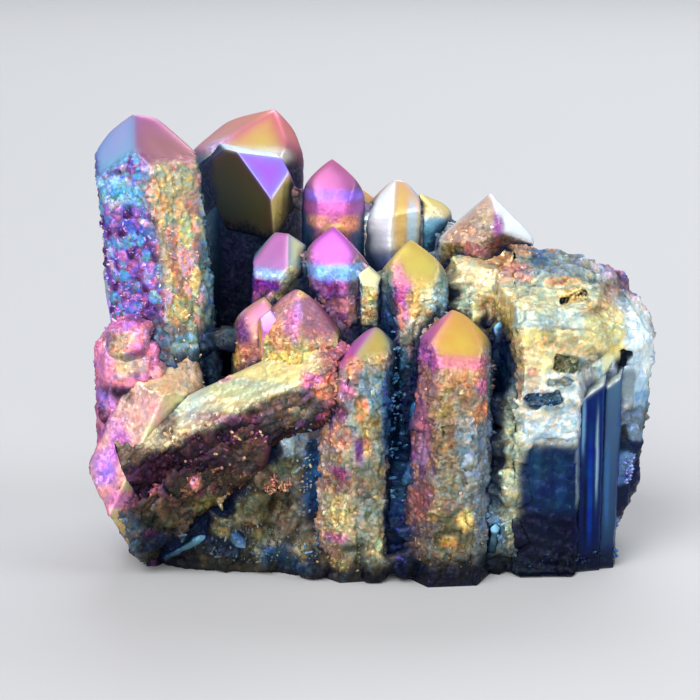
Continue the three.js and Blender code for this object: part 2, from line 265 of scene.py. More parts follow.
def titanium_coat():
    """The coat: metallic, in the colour that its thickness gives it at each place, satin on
    the smooth faces, dull and glittering on the drusy ones."""
    coat = bpy.data.materials.new("titanium_coat")
    coat.use_nodes = True
    tree = coat.node_tree
    shader = tree.nodes["Principled BSDF"]
    start = Node(tree, None)
    where = start.make("ShaderNodeTexCoord", output="Object")
    layer = {"attribute_name": "coat"}
    colour = start.make("ShaderNodeAttribute", layer, output="Color")
    rough = start.make("ShaderNodeAttribute", layer, output="Alpha")
    noise = "ShaderNodeTexNoise"
    speckle = start.make(noise, None, {"Vector": where, "Scale": 900.0, "Detail": 3.0,
                                       "Roughness": 0.6})
    drift = start.make(noise, None, {"Vector": where, "Scale": 240.0, "Detail": 2.0})
    grit = start.make(noise, None, {"Vector": where, "Scale": 2600.0, "Detail": 2.0,
                                    "Roughness": 0.6})
    cells = start.make("ShaderNodeTexVoronoi", inputs={"Vector": where, "Scale": 2400.0},
                       output="Color")
    glint = start.make("ShaderNodeSeparateColor", inputs={"Color": cells})
    hue = 0.5 + (drift - 0.5) * 0.08 + ((speckle - 0.5) * 0.07 + (glint - 0.5) * 0.06) * rough
    value = 1.0 + (grit - 0.5) * (rough * 0.8 + 0.05) + (glint - 0.5) * (rough * 0.45)
    colour = start.make("ShaderNodeHueSaturation",
                        inputs={"Hue": hue, "Value": value, "Color": colour})
    tree.links.new(colour.socket, shader.inputs["Base Color"])
    sparkle = start.maths("GREATER_THAN", glint, 0.9)
    gloss = 0.34 + rough * 0.18 + (speckle - 0.5) * 0.12 - sparkle * rough * 0.3
    tree.links.new(gloss.socket, shader.inputs["Roughness"])
    shader.inputs["Metallic"].default_value = 0.45
    shader.inputs["Specular IOR Level"].default_value = 0.2
    height = (speckle * 0.6 + grit * 0.4) * (rough + 0.04)
    bump = start.make("ShaderNodeBump", inputs={"Height": height, "Distance": 0.0004,
                                                "Strength": 0.5})
    tipped = start.vector("SUBTRACT", {0: cells, 1: (0.5, 0.5, 0.5)})
    tipped = start.vector("SCALE", {0: tipped, "Scale": rough * 0.45})
    normal = start.vector("NORMALIZE", {0: start.vector("ADD", {0: bump, 1: tipped})})
    tree.links.new(normal.socket, shader.inputs["Normal"])
    return coat


COAT = titanium_coat()
origin = np.array(measured_from)
# What later sections need of the pieces made so far: their meshes, what each crystal's faces
# and coat are, and their plain shapes for finding the hollows between them.
made = []
forms = []
plain_forms = bmesh.new()


def cut_off(bm, at, facing):
    """Takes away what lies beyond a plane and closes the cut."""
    cut = bmesh.ops.bisect_plane(bm, geom=[*bm.verts, *bm.edges, *bm.faces], plane_co=at,
                                 plane_no=facing, clear_outer=True)
    rim = [edge for edge in cut["geom_cut"] if isinstance(edge, bmesh.types.BMEdge)]
    if rim:
        bmesh.ops.holes_fill(bm, edges=rim)


def remade(mesh, modifier, **settings):
    """The mesh as a modifier makes it, in place of the one it was."""
    body = added("remade", mesh)
    maker = body.modifiers.new("maker", modifier)
    for name, value in settings.items():
        setattr(maker, name, value)
    result = bpy.data.meshes.new_from_object(
        body.evaluated_get(bpy.context.evaluated_depsgraph_get())
    )
    bpy.data.objects.remove(body)
    bpy.data.meshes.remove(mesh)
    return result


def piece(name, mesh):
    """Names the finished mesh as a piece of the cluster, coated and carried by its body."""
    mesh.name = name
    mesh.materials.clear()
    mesh.materials.append(COAT)
    mesh.shade_smooth()
    body = added(name, mesh)
    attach(body, "root")
    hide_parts("quartz_cluster")
    made.append(mesh)


def read_points(mesh):
    """The places of a mesh's vertices in millimetres, measured as place() measures."""
    points = np.zeros(len(mesh.vertices) * 3, np.float32)
    mesh.vertices.foreach_get("co", points)
    return (points.reshape(-1, 3).astype(float) - origin) / MM


def read_normals(mesh):
    """The way that the surface faces at each of a mesh's vertices."""
    normals = np.zeros(len(mesh.vertices) * 3, np.float32)
    mesh.vertices.foreach_get("normal", normals)
    return normals.reshape(-1, 3).astype(float)


def write_points(mesh, points):
    """Puts the vertices back, none of them below the cut base."""
    points = np.maximum(points, (-np.inf, -np.inf, 0))
    mesh.vertices.foreach_set("co", (points * MM + origin).astype(np.float32).ravel())
    mesh.update()


def write_coat(mesh, coat):
    """Stores the coat's colour and roughness at each vertex."""
    layer = mesh.attributes.get("coat") or mesh.attributes.new("coat", "FLOAT_COLOR", "POINT")
    layer.data.foreach_set("color", np.clip(coat, 0, 1).astype(np.float32).ravel())


def read_coat(mesh):
    """The coat's colour and roughness at each vertex, as write_coat() stored them."""
    coat = np.zeros(len(mesh.vertices) * 4, np.float32)
    mesh.attributes["coat"].data.foreach_get("color", coat)
    return coat.reshape(-1, 4).astype(float)


def film_colour(thickness):
    """The film's colour at each thickness from 0 to 1, in linear light."""
    stops = np.array([position for position, _ in FILM])
    colours = (np.array([colour for _, colour in FILM]) / 255) ** 2.2
    return np.stack([np.interp(thickness, stops, channel) for channel in colours.T], axis=-1)


def finish(value, rough=1):
    """A coat given as a film thickness, a colour, or a colour with its roughness."""
    if not isinstance(value, tuple):
        return np.array((*film_colour(value), rough))
    colour = [(channel / 255) ** 2.2 for channel in value[:3]]
    return np.array((*colour, *(value[3:] or (rough,))), float)


def graded(first, last, share, rough=1):
    """The coat between two finishes. Between two thicknesses it runs through the film's
    own colours."""
    if isinstance(first, tuple) or isinstance(last, tuple):
        first, last = finish(first, rough), finish(last, rough)
        return first + (last - first) * share[:, None]
    colours = film_colour(first + (last - first) * share)
    return np.concatenate([colours, np.full((len(share), 1), rough)], axis=1)


DRIFT, DRIFT_SIZE = 1.5, 2.6
WIDE_PATCH = 2.4


def drift_of(points):
    """How far the coat's patches stray at each point, so that their edges are ragged."""
    ways = [clouds(points, DRIFT_SIZE, 3, 90 + n) for n in range(3)]
    return DRIFT * np.stack(ways, axis=1)


def washed(points, drift, coat, washes, crisp=7):
    """Lays soft patches over a coat, each (middle, half size, finish, strength). Small and
    glossy ones keep closer to their outline."""
    for at, size, value, strength in washes:
        value = finish(value)
        stray = min(1, min(size) / WIDE_PATCH) * (0.3 + 0.7 * value[3])
        away = np.abs((points + stray * drift - np.array(at)) / np.array(size))
        away = (away**3).sum(axis=1) ** (1 / 3)
        share = strength / (1 + np.exp(np.clip(crisp * (away - 1), -30, 30)))[:, None]
        coat = coat * (1 - share) + value * share
    return coat


# Painted light: grains turned towards the key light (up, left and to the front) are painted pinker and
# lighter, and those turned away greener and darker. The low places between grains get painted shade.
KEY_LIGHT_SIDE = np.array((-0.55, -0.35, 0.76))
LIT_SIDE_TINT = np.array((0.26, -0.08, 0.16, 0))
MOST_TURNED, PAINTED_CREVICE_SHADE = 0.8, 0.6
LIGHTER, WARMER = (0.75, 0.65, 0.5), (0.65, -0.1, -0.85)


def painted_light_and_shade(mesh, coat, outward, low):
    """The coat with painted light and shade: pinker and lighter on grains turned up and left of the face
    they grow on, towards the key light, greener and darker on the others, and painted shade in the low
    places between them."""
    facing = np.clip((read_normals(mesh) - outward) @ KEY_LIGHT_SIDE, -MOST_TURNED, MOST_TURNED)
    coat = coat * (1 + (facing * coat[:, 3])[:, None] * LIT_SIDE_TINT)
    coat[:, :3] *= (1 - PAINTED_CREVICE_SHADE * low)[:, None]
    return coat


def dapple(coat, chance, shift):
    """Shifts the colours of the coat by chance, from one grain to the next."""
    coat[:, :3] *= 1 + chance[:, None] * shift


RIM_WIDTH, RIM_STRENGTH = 0.8, 0.7
TERMINAL_DEPTH = 0.85


def coat_of(form, own, gaps, wear):
    """The coat that a crystal's faces have at points in its own measure, given how far each
    point is outside each face, and the share that each face has in it."""
    shares = np.exp(np.minimum(gaps - gaps.max(axis=1, keepdims=True), 0) / wear)
    shares /= shares.sum(axis=1, keepdims=True)
    count = len(form["tips"])
    ordered = np.sort(gaps, axis=1)
    rim = np.exp(-(ordered[:, -1] - ordered[:, -2]) / RIM_WIDTH)
    below_peak = form["length"] - own[:, 2]
    below = np.clip(below_peak / (TERMINAL_DEPTH * form["across"]), 0, 1)
    drop = np.clip(below_peak / (form["length"] - form["start"]), 0, 1)
    coat = shares[:, count + 6:].sum(axis=1)[:, None] * finish(form["broken"])
    for number, (first, last, edge, curve) in enumerate(form["tips"]):
        value = graded(first, last, below**curve, rough=0)
        if edge:
            value += (finish(edge, rough=0) - value) * RIM_STRENGTH * rim[:, None]
        coat += shares[:, number, None] * value
    for number, (first, last) in enumerate(form["sides"]):
        coat += shares[:, count + number, None] * graded(first, last, drop)
    return coat, shares


# Terminal faces slope at FACE_PITCH, three of them nearer the peak than the others.
FACE_PITCH = 38.2
RISES = (0, 2, 0, 1.5, 0.4, 2)
# A crystal that stands on the base is cut off level with it, its relief fades out just above and its
# foot is painted dark, a painted shade at the bottom.
BASE_CUT, BASE_FADE = ((0, 0, 0), (0, 0, -1)), 1.2
SHADED_FOOT = ((0, 20, -1.5), (90, 90, 4.2), (14, 22, 38), 0.85)
SQUARE_PATCH = 0.62
FINENESS = 1
# The blocks on the first side are drawn out upwards and the others pressed flatter.
DRAWN_OUT, PRESSED = 0.5, 1.15
STRIATED_ROUGHNESS = 0.4
# How fast the druse smooths out where the coat is glossier.
FADE_POWER = 2.5


def cut_prism(stand, across, deep, spread, turn, start, length, peak, ends, breaks):
    """A six-sided prism in its own measure, cut by its terminal faces and its breaks, with
    the normal and offset of each face: terminal faces, six sides, then breaks."""
    height = length + across
    radius = 0.5 / math.cos(math.pi / 6)
    girth = 1 + (spread - 1) * (1 - start / height)
    bm = bmesh.new()
    bmesh.ops.create_cone(bm, cap_ends=True, segments=6, radius1=radius * girth, radius2=radius,
                          depth=height - start)
    bmesh.ops.translate(bm, verts=bm.verts, vec=(0, 0, (height + start) / 2))
    bmesh.ops.rotate(bm, verts=bm.verts, matrix=Matrix.Rotation(math.radians(turn), 3, "Z"))
    bmesh.ops.scale(bm, verts=bm.verts, vec=(across, deep, 1))
    bm.normal_update()
    planes = []
    for azimuth, pitch, rise in ends:
        look, slope = math.radians(azimuth), math.radians(pitch)
        normal = Vector((math.cos(look) * math.cos(slope), math.sin(look) * math.cos(slope),
                         math.sin(slope)))
        planes.append((normal, normal.dot(Vector((*peak, length + rise)))))
    for number in range(6):
        look = math.radians(turn + 60 * number)
        normal = Vector((math.cos(look) / across, math.sin(look) / deep, 0)).normalized()
        side = max(bm.faces, key=lambda face: face.normal.dot(normal) - abs(face.normal.z))
        planes.append((side.normal.copy(), side.normal.dot(side.verts[0].co)))
    for at, look in breaks:
        normal = stand.to_3x3().transposed() @ Vector(look).normalized()
        planes.append((normal, normal.dot(stand.inverted() @ Vector(at))))
    for normal, offset in (*planes[:len(ends)], *planes[len(ends) + 6:]):
        cut_off(bm, normal * offset, normal)
    patch = SQUARE_PATCH * across
    for number in range(1, int((length - start) / patch) + 1):
        bmesh.ops.bisect_plane(bm, geom=[*bm.verts, *bm.edges, *bm.faces],
                               plane_co=(0, 0, start + number * patch), plane_no=(0, 0, 1))
    return bm, planes


# A skin is the relief of a prism in millimetres, each grain's own chance, its chance of a warm tint, 0
# at its edge to 1 within, and 0 to 1 for how low it lies, which sets how much painted shade it gets.


def blocky_skin(own, points, drift, stretch, seed):
    """Staggered blocks, with finer grains on them."""
    stood = own + 0.4 * drift
    stood[:, 2] *= stretch
    rough, chance, core = facets(stood, 1.55, 0.8, seed)
    fine, warm, _ = facets(points, 0.6, 0.9, seed + 3)
    relief = core * (0.2 + 0.5 * rough) + 0.16 * fine + 0.3 * clouds(points, 1.8, 4, seed)
    return relief - 0.2, chance, warm, core, np.clip(0.6 - core, 0, 1)


def drusy_skin(own, points, drift, seed):
    """Grains of three sizes, drawn out a little along the prism, on long swellings."""
    rough, chance, core = facets(own * (1, 1, 0.75) + 0.3 * drift, 1.35, 0.8, seed)
    middle, warm, _ = facets(own * (1, 1, 0.8) + 0.2 * drift, 0.7, 0.9, seed + 4)
    fine, _, _ = facets(points, 0.4, 0.9, seed + 6)
    relief = 0.32 * rough + 0.22 * middle + 0.12 * fine + 0.3 * clouds(points, 4.5, 4, seed)
    relief += 0.22 * clouds(own * (1, 1, 0.22), 1.7, 3, seed + 7)
    return relief, chance, warm, core, np.clip(0.35 - 0.4 * core - 1.6 * relief, 0, 1)


def striated_skin(own, points, seed):
    """Fine steps across a prism that has no grains."""
    relief = 0.09 * clouds(own * (0.15, 0.15, 1) + seed, 0.9, 3, seed)
    relief += 0.12 * clouds(points, 2.2, 3, seed)
    none, all_of_it = np.zeros(len(own)), np.ones(len(own))
    return relief, none, 0.5 * all_of_it, all_of_it, none


def crystal(name, foot, tip, across, deep=None, spread=1.1, turn=-90, peak=(0, 0), ends=None,
            rises=RISES, start=0, spacing=0.3, wear=0.12, tips=((0.6, 0.6, None, 1),),
            sides=((0.5, 0.4),), skin="striated", grain=1.0, bare=1,
            flecks=(), washes=(), breaks=(), broken=SLATE, seed=0):
    """One six-sided crystal in millimetres, its terminal faces [azimuth, pitch, rise] round
    the peak. tips gives each terminal face's coat at the peak, at its foot and at its edges,
    and how the first two run into each other. sides gives each prism face's coat at its top
    and foot. flecks are (faces, least and most chance, finish, strength) for single grains,
    washes are patches for washed(), and breaks are (place, normal) of broken faces. start is
    where the shape begins above the foot, wear rounds its edges, and bare says how smooth
    the terminal faces are."""
    deep = deep or across
    ends = ends or [(turn + 60 * n, FACE_PITCH, rise) for n, rise in enumerate(rises)]
    count = len(ends)
    if start == 0 and foot[2] == 0:
        breaks, washes = (*breaks, BASE_CUT), (*washes, SHADED_FOOT)
        start = -0.6 * across
    axis = Vector(tip) - Vector(foot)
    lean = Vector((0, 0, 1)).rotation_difference(axis).to_matrix().to_4x4()
    stand = Matrix.Translation(foot) @ lean
    bm, planes = cut_prism(stand, across, deep, spread, turn, start, axis.length, peak, ends,
                           breaks)
    bmesh.ops.transform(bm, matrix=Matrix.Diagonal((MM, MM, MM, 1)) @ stand, verts=bm.verts)
    bmesh.ops.translate(bm, verts=bm.verts, vec=measured_from)
    bmesh.ops.recalc_face_normals(bm, faces=bm.faces)
    mesh = mesh_of(name, bm)
    plain_forms.from_mesh(mesh)
    levels = max(3, round(math.log2(SQUARE_PATCH * across / spacing / FINENESS)))
    mesh = remade(mesh, "SUBSURF", subdivision_type="SIMPLE", levels=levels,
                  render_levels=levels)

    form = {
        "inwards": np.array(stand.inverted()), "length": axis.length, "start": start,
        "across": across, "normals": np.array([normal for normal, _ in planes]),
        "offsets": np.array([offset for _, offset in planes]), "broken": broken,
        "tips": [tips[n % len(tips)] for n in range(count)],
        "sides": [sides[n % len(sides)] for n in range(6)], "washes": washes,
    }
    forms.append(form)
    points = read_points(mesh)
    drift = drift_of(points)
    own = points @ form["inwards"][:3, :3].T + form["inwards"][:3, 3]
    gaps = own @ form["normals"].T - form["offsets"]
    coat, shares = coat_of(form, own, gaps, wear)
    prism = 1 - bare * shares[:, :count].sum(axis=1)
    if skin == "blocks":
        stretch = np.where(shares[:, count] > 0.5, DRAWN_OUT, PRESSED)
        relief, chance, warm, core, low = blocky_skin(own, points, drift, stretch, seed)
    elif skin == "drusy":
        relief, chance, warm, core, low = drusy_skin(own, points, drift, seed)
    else:
        relief, chance, warm, core, low = striated_skin(own, points, seed)
        coat[:, 3] *= STRIATED_ROUGHNESS
    # low sets the painted shade in the low places between the grains.
    low = prism * low
    for faces, least, most, value, strength in flecks:
        share = strength * core * shares[:, [count + n for n in faces]].sum(axis=1)
        share = (share * ((chance >= least) & (chance < most)))[:, None]
        coat = coat * (1 - share) + finish(value) * share
    coat = washed(points, drift, coat, washes)
    if skin != "striated":
        dapple(coat, prism * coat[:, 3] * core * (chance - 0.5), LIGHTER)
        warmth = 1 if skin == "blocks" else 0.7
        dapple(coat, prism * coat[:, 3] * (warm - 0.5) * warmth, WARMER)
    if skin == "drusy":
        streaks = 0.07 * clouds(own * (1, 1, 0.1), 0.8, 3, seed + 8)
        relief = relief * coat[:, 3] ** FADE_POWER + streaks * (1 - coat[:, 3])
        low *= coat[:, 3] ** FADE_POWER

    raise_by = -wear * np.log(np.exp(gaps / wear).sum(axis=1))
    raise_by += 0.05 * clouds(points, 3.5, 2, seed)
    raise_by += prism * grain * relief
    if start < 0:
        raise_by *= np.clip(points[:, 2] / BASE_FADE, 0, 1)
    outward = shares @ form["normals"]
    outward /= np.linalg.norm(outward, axis=1)[:, None]
    outward = outward @ np.array(lean.to_3x3()).T
    write_points(mesh, points + outward * raise_by[:, None])
    write_coat(mesh, painted_light_and_shade(mesh, coat, outward, low))
    piece(name, mesh)


crystal("tall_left_crystal", (-23.6, 16, 0), (-29.1, 16, 56.6), 12.6, 12.4, spread=1.0, turn=-52,
        peak=(-0.9, -0.5), start=14, spacing=0.2, skin="blocks", seed=1, wear=0.3,
        ends=[(-140, 41, 0), (-46, 46, 0), (100, 42, 0), (20, 38, 3), (170, 38, 2.5)],
        tips=(((184, 170, 242), (126, 212, 244), (100, 206, 244), 1),
              ((146, 70, 146), (160, 120, 100), (166, 84, 150), 0.4), (PINK, ORANGE, None, 1),
              (MAUVE, GOLD, None, 1), (VIOLET, CYAN, None, 1)),
        sides=(((218, 198, 154), (150, 156, 124)), ((104, 130, 120), (30, 84, 120)), (GOLD, OLIVE),
               (SALMON, MAUVE), ((132, 84, 176), PURPLE), ((132, 98, 180), (140, 84, 170))),
        flecks=(((4, 5), 0.0, 0.2, (112, 190, 232), 0.85), ((4, 5), 0.2, 0.34, (212, 140, 220), 0.7),
                ((4, 5), 0.5, 0.62, (184, 180, 236), 0.7), ((4, 5), 0.34, 0.5, (76, 120, 190), 0.8),
                ((4, 5), 0.74, 1.1, (34, 16, 66), 0.88), ((0,), 0.0, 0.2, (222, 150, 140), 0.75),
                ((0,), 0.2, 0.36, (236, 220, 150), 0.8), ((0,), 0.36, 0.5, (140, 150, 112), 0.7),
                ((0,), 0.84, 1.1, (214, 140, 170), 0.7)),
        washes=(((-32.6, 10, 47.2), (4.6, 6, 1.7), CYAN, 0.65),
                ((-25.6, 8, 46.4), (2.6, 5, 2.4), (206, 172, 122), 0.6),
                ((-20.6, 12, 36), (1.1, 4, 14), (70, 120, 136), 0.85),
                ((-24.8, 9.6, 26.6), (3.2, 3, 4.6), (84, 112, 106), 0.75),
                ((-22.6, 9, 24), (3, 6, 5), (22, 56, 92), 0.85),
                ((-24.6, 9, 32), (1.3, 3, 1), STRAW, 0.7),
                ((-23.2, 9, 28.4), (1.6, 3, 1.2), (150, 196, 206), 0.85)))

# ------------------------------------------------------------------ the crystals behind
# Smooth glossy points that stand behind the front row: a broad orange one, a dark one that
# points forwards, and a row of domes in pink, yellow and pale blue.

crystal("broad_orange_crystal", (-17.6, 32, 0), (-16.4, 33, 54.8), 12.8, 12, peak=(3.4, 0), start=12,
        spacing=0.5, seed=2, wear=0.4, ends=[(-90, 42, 0), (-160, 62, 0.2), (-20, 36, 0), (60, 40, 2)],
        tips=(((232, 150, 96), (196, 196, 110), (230, 110, 150), 0.5),
              ((236, 160, 124), (206, 170, 196), (230, 116, 160), 0.7),
              ((228, 130, 150), (226, 170, 110), (230, 110, 150), 1), (PINK, ORANGE, None, 1)),
        # Painted shade: the prism faces in the hollow under the forward crystal run from navy to black.
        sides=((NAVY, BLACK), (NAVY, BLACK), ((150, 120, 170), (40, 80, 130)),
               ((120, 110, 190), (40, 90, 140)), ((96, 140, 190), (30, 60, 120)), (STEEL, BLACK)),
        washes=(((-15.5, 26.5, 49.4), (6, 4, 1.1), (226, 224, 214, 0.3), 0.9),
                ((-21.5, 27.5, 51.4), (2.2, 4, 1.6), (200, 190, 240), 0.9)))
crystal("forward_crystal", (-17.9, 34, 44.8), (-15.6, 18.6, 45.4), 11.6, 10, turn=90, start=3.2,
        peak=(2.6, 0), spacing=0.3, seed=3, ends=[(90, 60, 0), (205, 35.5, 0), (0, 45, 0)],
        tips=(((176, 96, 236), (186, 116, 240), (130, 160, 244), 1),
              ((86, 78, 44), (40, 48, 48), (96, 60, 66), 0.7),
              ((222, 204, 110), (214, 190, 96), (232, 216, 150), 1)),
        # Painted shade: the faces on its underside are painted black.
        sides=((SILVER, SKY), (STEEL, NAVY), (BLACK, BLACK), (BLACK, BLACK), (NAVY, NAVY),
               (VIOLET, STEEL)),
        washes=(((-22.2, 24, 46), (1.6, 6, 6), (16, 40, 76), 0.9),
                # Painted shade: a near-black patch along its underside.
                ((-17, 22, 39.6), (5, 5, 1.8), (8, 24, 42), 0.9),
                ((-11.2, 22, 42.6), (1.2, 3, 1.4), GOLD, 0.6)))
crystal("pink_dome", (-5.2, 22, 0), (-5.2, 22, 50.2), 7.4, 8, turn=-92, start=20, seed=4, wear=0.45,
        tips=(((184, 106, 166), (184, 104, 170), (190, 112, 142), 1),), spacing=0.25,
        sides=(((222, 120, 160), (70, 84, 90)), (STEEL, NAVY), (STEEL, NAVY)),
        washes=(((-5.4, 17.6, 45.6), (6, 5, 0.7), (150, 110, 240, 0.2), 0.8),
                ((-5.4, 17.6, 44), (6, 5, 1), (190, 92, 172, 0.3), 0.7),
                ((-7.2, 17.6, 42.4), (1.4, 3, 0.8), (224, 150, 130, 0.5), 0.8),
                ((-3, 17.6, 42.2), (1.6, 3, 1), (232, 150, 110, 0.5), 0.8),
                ((-5, 17.6, 41.2), (1.4, 3, 0.9), (220, 178, 96, 0.5), 0.8)))
# Painted reflection: its left front terminal face and the near-white patch on it are painted
# silver-white, the glare of a lamp.
crystal("glare_crystal", (1.4, 24, 0), (2, 24, 47), 7.8, 7.5, turn=-58, peak=(1, -0.4), start=20,
        seed=5, spacing=0.25, wear=0.15,
        ends=[(-122, 40, 0.3), (-60, 38, 0), (0, 40, 1), (100, 42, 0), (180, 40, 1)],
        tips=((SILVER, SILVER, None, 1), (GOLD, ORANGE, (226, 150, 150), 1), (SKY, STEEL, SILVER, 1)),
        sides=(((216, 186, 106), STEEL), ((170, 200, 222), (40, 80, 120)), (GREY, NAVY), (STEEL, NAVY),
               (STEEL, NAVY), (SILVER, (150, 196, 226))),
        washes=(((0.2, 20, 41), (2.6, 4, 4.4), (236, 244, 250, 0.1), 0.9),
                ((1.6, 20, 36.6), (3, 4, 1.6), (*BLUE, 0.2), 0.8),
                ((3.2, 20, 42), (0.8, 3, 4), (226, 190, 100, 0.1), 0.8),
                ((4.9, 20, 41.4), (0.7, 3, 4), (*SKY, 0.1), 0.8)))
crystal("cream_stub", (7.6, 26, 0), (7.2, 26, 44.6), 5.4, 6.5, turn=-75, peak=(-1, 0), start=20,
        seed=6, wear=0.2, ends=[(-20, 56, 0), (-100, 50, 0.5), (100, 40, 1), (190, 36, 0.5)],
        tips=(((222, 198, 120), (228, 206, 140), None, 1),), sides=(((120, 176, 206), STEEL),),
        # Painted shade: a black patch in the cleft at its right side.
        washes=(((9.8, 22, 39.6), (1.6, 4, 2), BLACK, 0.9), ((8, 22, 42.8), (1.5, 3, 0.6), CREAM, 0.8),
                ((7.4, 22, 39.4), (2, 3, 1.2), (60, 110, 150), 0.7)))
# Painted reflection: its right terminal faces and right prism face are painted silver, the white glare
# of a lamp.
crystal("upper_right_crystal", (10, 22, 0), (14.8, 21.4, 45.2), 11.4, 10, turn=-120, start=18, seed=7,
        spacing=0.2, wear=0.15, bare=0.3, grain=0.5, skin="drusy",
        ends=[(-126, 44, 0), (-42, 52, 0), (20, 46, 0.6), (90, 42, 1), (170, 42, 0.4)],
        tips=(((192, 166, 148, 0.9), (172, 158, 136, 0.9), (206, 160, 150), 1),
              (SILVER, SILVER, None, 1), (SILVER, SKY, None, 1)),
        sides=((OLIVE, NAVY), ((96, 76, 60), NAVY), (SILVER, STEEL)),
        washes=(((15.6, 16, 43), (0.7, 3, 2.2), (150, 70, 160), 0.9),
                ((15.4, 15, 40), (1.8, 3, 1.2), (96, 66, 56), 0.9),
                ((11.4, 16, 41.6), (1.2, 3, 1), (222, 160, 120), 0.6),
                ((12.6, 16, 39), (1.4, 3, 0.8), (216, 130, 140), 0.6)))

# ------------------------------------------------------------------ the second row
# Shorter points between the domes and the front. The film runs from pink at their tips
# through violet to a cyan band at the foot of the terminal faces, on rough purple prisms.

crystal("pink_point", (-4.2, 14, 0), (-4.6, 14, 42.6), 7.8, 7.6, turn=-103, peak=(-0.4, 0), start=14,
        spacing=0.25, seed=8, skin="drusy", grain=0.8, wear=0.3,
        tips=(((190, 94, 200), (150, 84, 212), (196, 108, 190), 2),
              ((120, 110, 84), (96, 104, 96), None, 1)),
        sides=(((130, 56, 160), (150, 80, 90)), ((130, 116, 96), STEEL)),
        flecks=(((0, 5), 0.0, 0.2, (216, 130, 206), 0.7), ((0, 5), 0.2, 0.36, (84, 44, 88), 0.8),
                ((0, 5), 0.36, 0.46, ORANGE, 0.6)),
        washes=(((-5.4, 10, 37.3), (5, 4, 0.9), (116, 180, 244, 0.5), 0.85),
                ((-7.2, 10, 33), (1.2, 3, 1.2), (222, 150, 90), 0.7),
                ((-3.4, 10, 33.4), (2, 3, 1.2), (170, 120, 130), 0.75),
                ((-1.2, 10, 32.4), (1, 3, 2), OLIVE, 0.7),
                ((-5.6, 10, 31.2), (1.6, 3, 0.9), MAUVE, 0.7)))
crystal("yellow_point", (5.4, 12.5, 0), (4.6, 12.5, 41.2), 8, 8, turn=-84, start=14, spacing=0.2,
        seed=9, skin="drusy", grain=0.7, wear=0.35,
        tips=(((212, 190, 92), (206, 192, 104), (222, 190, 110), 1),
              ((150, 156, 110), (196, 150, 120), None, 1)),
        sides=(((214, 186, 100), (96, 130, 150)), ((120, 150, 140), STEEL)),
        flecks=(((0,), 0.0, 0.2, (226, 170, 100), 0.6), ((0,), 0.84, 1.1, (226, 150, 120), 0.6)),
        washes=(((3.4, 8.4, 34), (1.2, 3, 2.8), (206, 80, 190), 0.9),
                ((2.9, 8.4, 37), (0.7, 3, 1.8), (226, 130, 170), 0.8),
                ((4.9, 8.4, 33.8), (1, 3, 2.2), (222, 180, 96), 0.7),
                ((2.6, 8.4, 32), (1, 3, 1.6), (226, 156, 90), 0.6),
                ((8.4, 9, 34), (1.4, 3, 1.6), (150, 200, 220), 0.8),
                ((6.6, 8.4, 34.6), (1, 3, 1), CREAM, 0.7),
                ((5, 8, 30.6), (1.4, 3, 1), (200, 206, 190), 0.8),
                ((1.6, 9, 30), (1, 4, 5), (14, 60, 110), 0.9),
                ((4.6, 8.6, 20), (5, 3, 8.6), (6, 30, 70), 0.93),
                ((3.4, 8.6, 27), (0.7, 3, 1.4), (80, 150, 200), 0.8)))
crystal("left_pink_point", (-13, 16, 0), (-11.8, 16, 41.3), 6.6, 7, turn=-118, peak=(0.8, 0), start=14,
        spacing=0.2, seed=10, rises=(0, 0.3, 2, 0, 2, 2), skin="drusy", grain=0.5,
        tips=(((178, 108, 170), (150, 130, 196), (182, 116, 166), 2),
              ((222, 200, 120), (206, 206, 150), (110, 180, 210), 1), ((120, 170, 190), STEEL, None, 1)),
        sides=(((140, 60, 170), (150, 120, 70)), ((206, 196, 130), (90, 110, 84)), (BLUE, NAVY)),
        washes=(((-13.6, 12, 36.6), (2.4, 3, 0.7), (140, 190, 240, 0.5), 0.8),
                ((-14, 12, 34.9), (2.4, 3, 0.8), (120, 40, 150), 0.8),
                ((-12.2, 12, 33.4), (1.6, 3, 0.9), (196, 180, 100), 0.8),
                ((-8.9, 12, 37), (0.6, 3, 3.4), (40, 110, 170), 0.85)))
crystal("salmon_point", (-15.4, 12.5, 0), (-14, 12, 34.2), 6.6, 7, turn=-110, peak=(0.4, 0), start=10,
        spacing=0.2, seed=11, skin="drusy", grain=0.6, wear=0.4,
        tips=(((190, 96, 176), (206, 140, 130), (190, 166, 96), 1), ((206, 156, 116), GOLD, None, 1)),
        sides=(((206, 120, 120), OLIVE), (GOLD, OLIVE)),
        washes=(((-14.4, 8.8, 34), (2, 3, 0.6), (190, 176, 90), 0.8),
                ((-16.6, 9, 30.4), (1.2, 3, 1.8), (84, 34, 110), 0.9),
                ((-18.2, 10, 31), (0.8, 3, 3), (96, 116, 96), 0.9),
                ((-17, 9, 32.6), (0.8, 3, 0.7), (190, 150, 230), 0.7)))
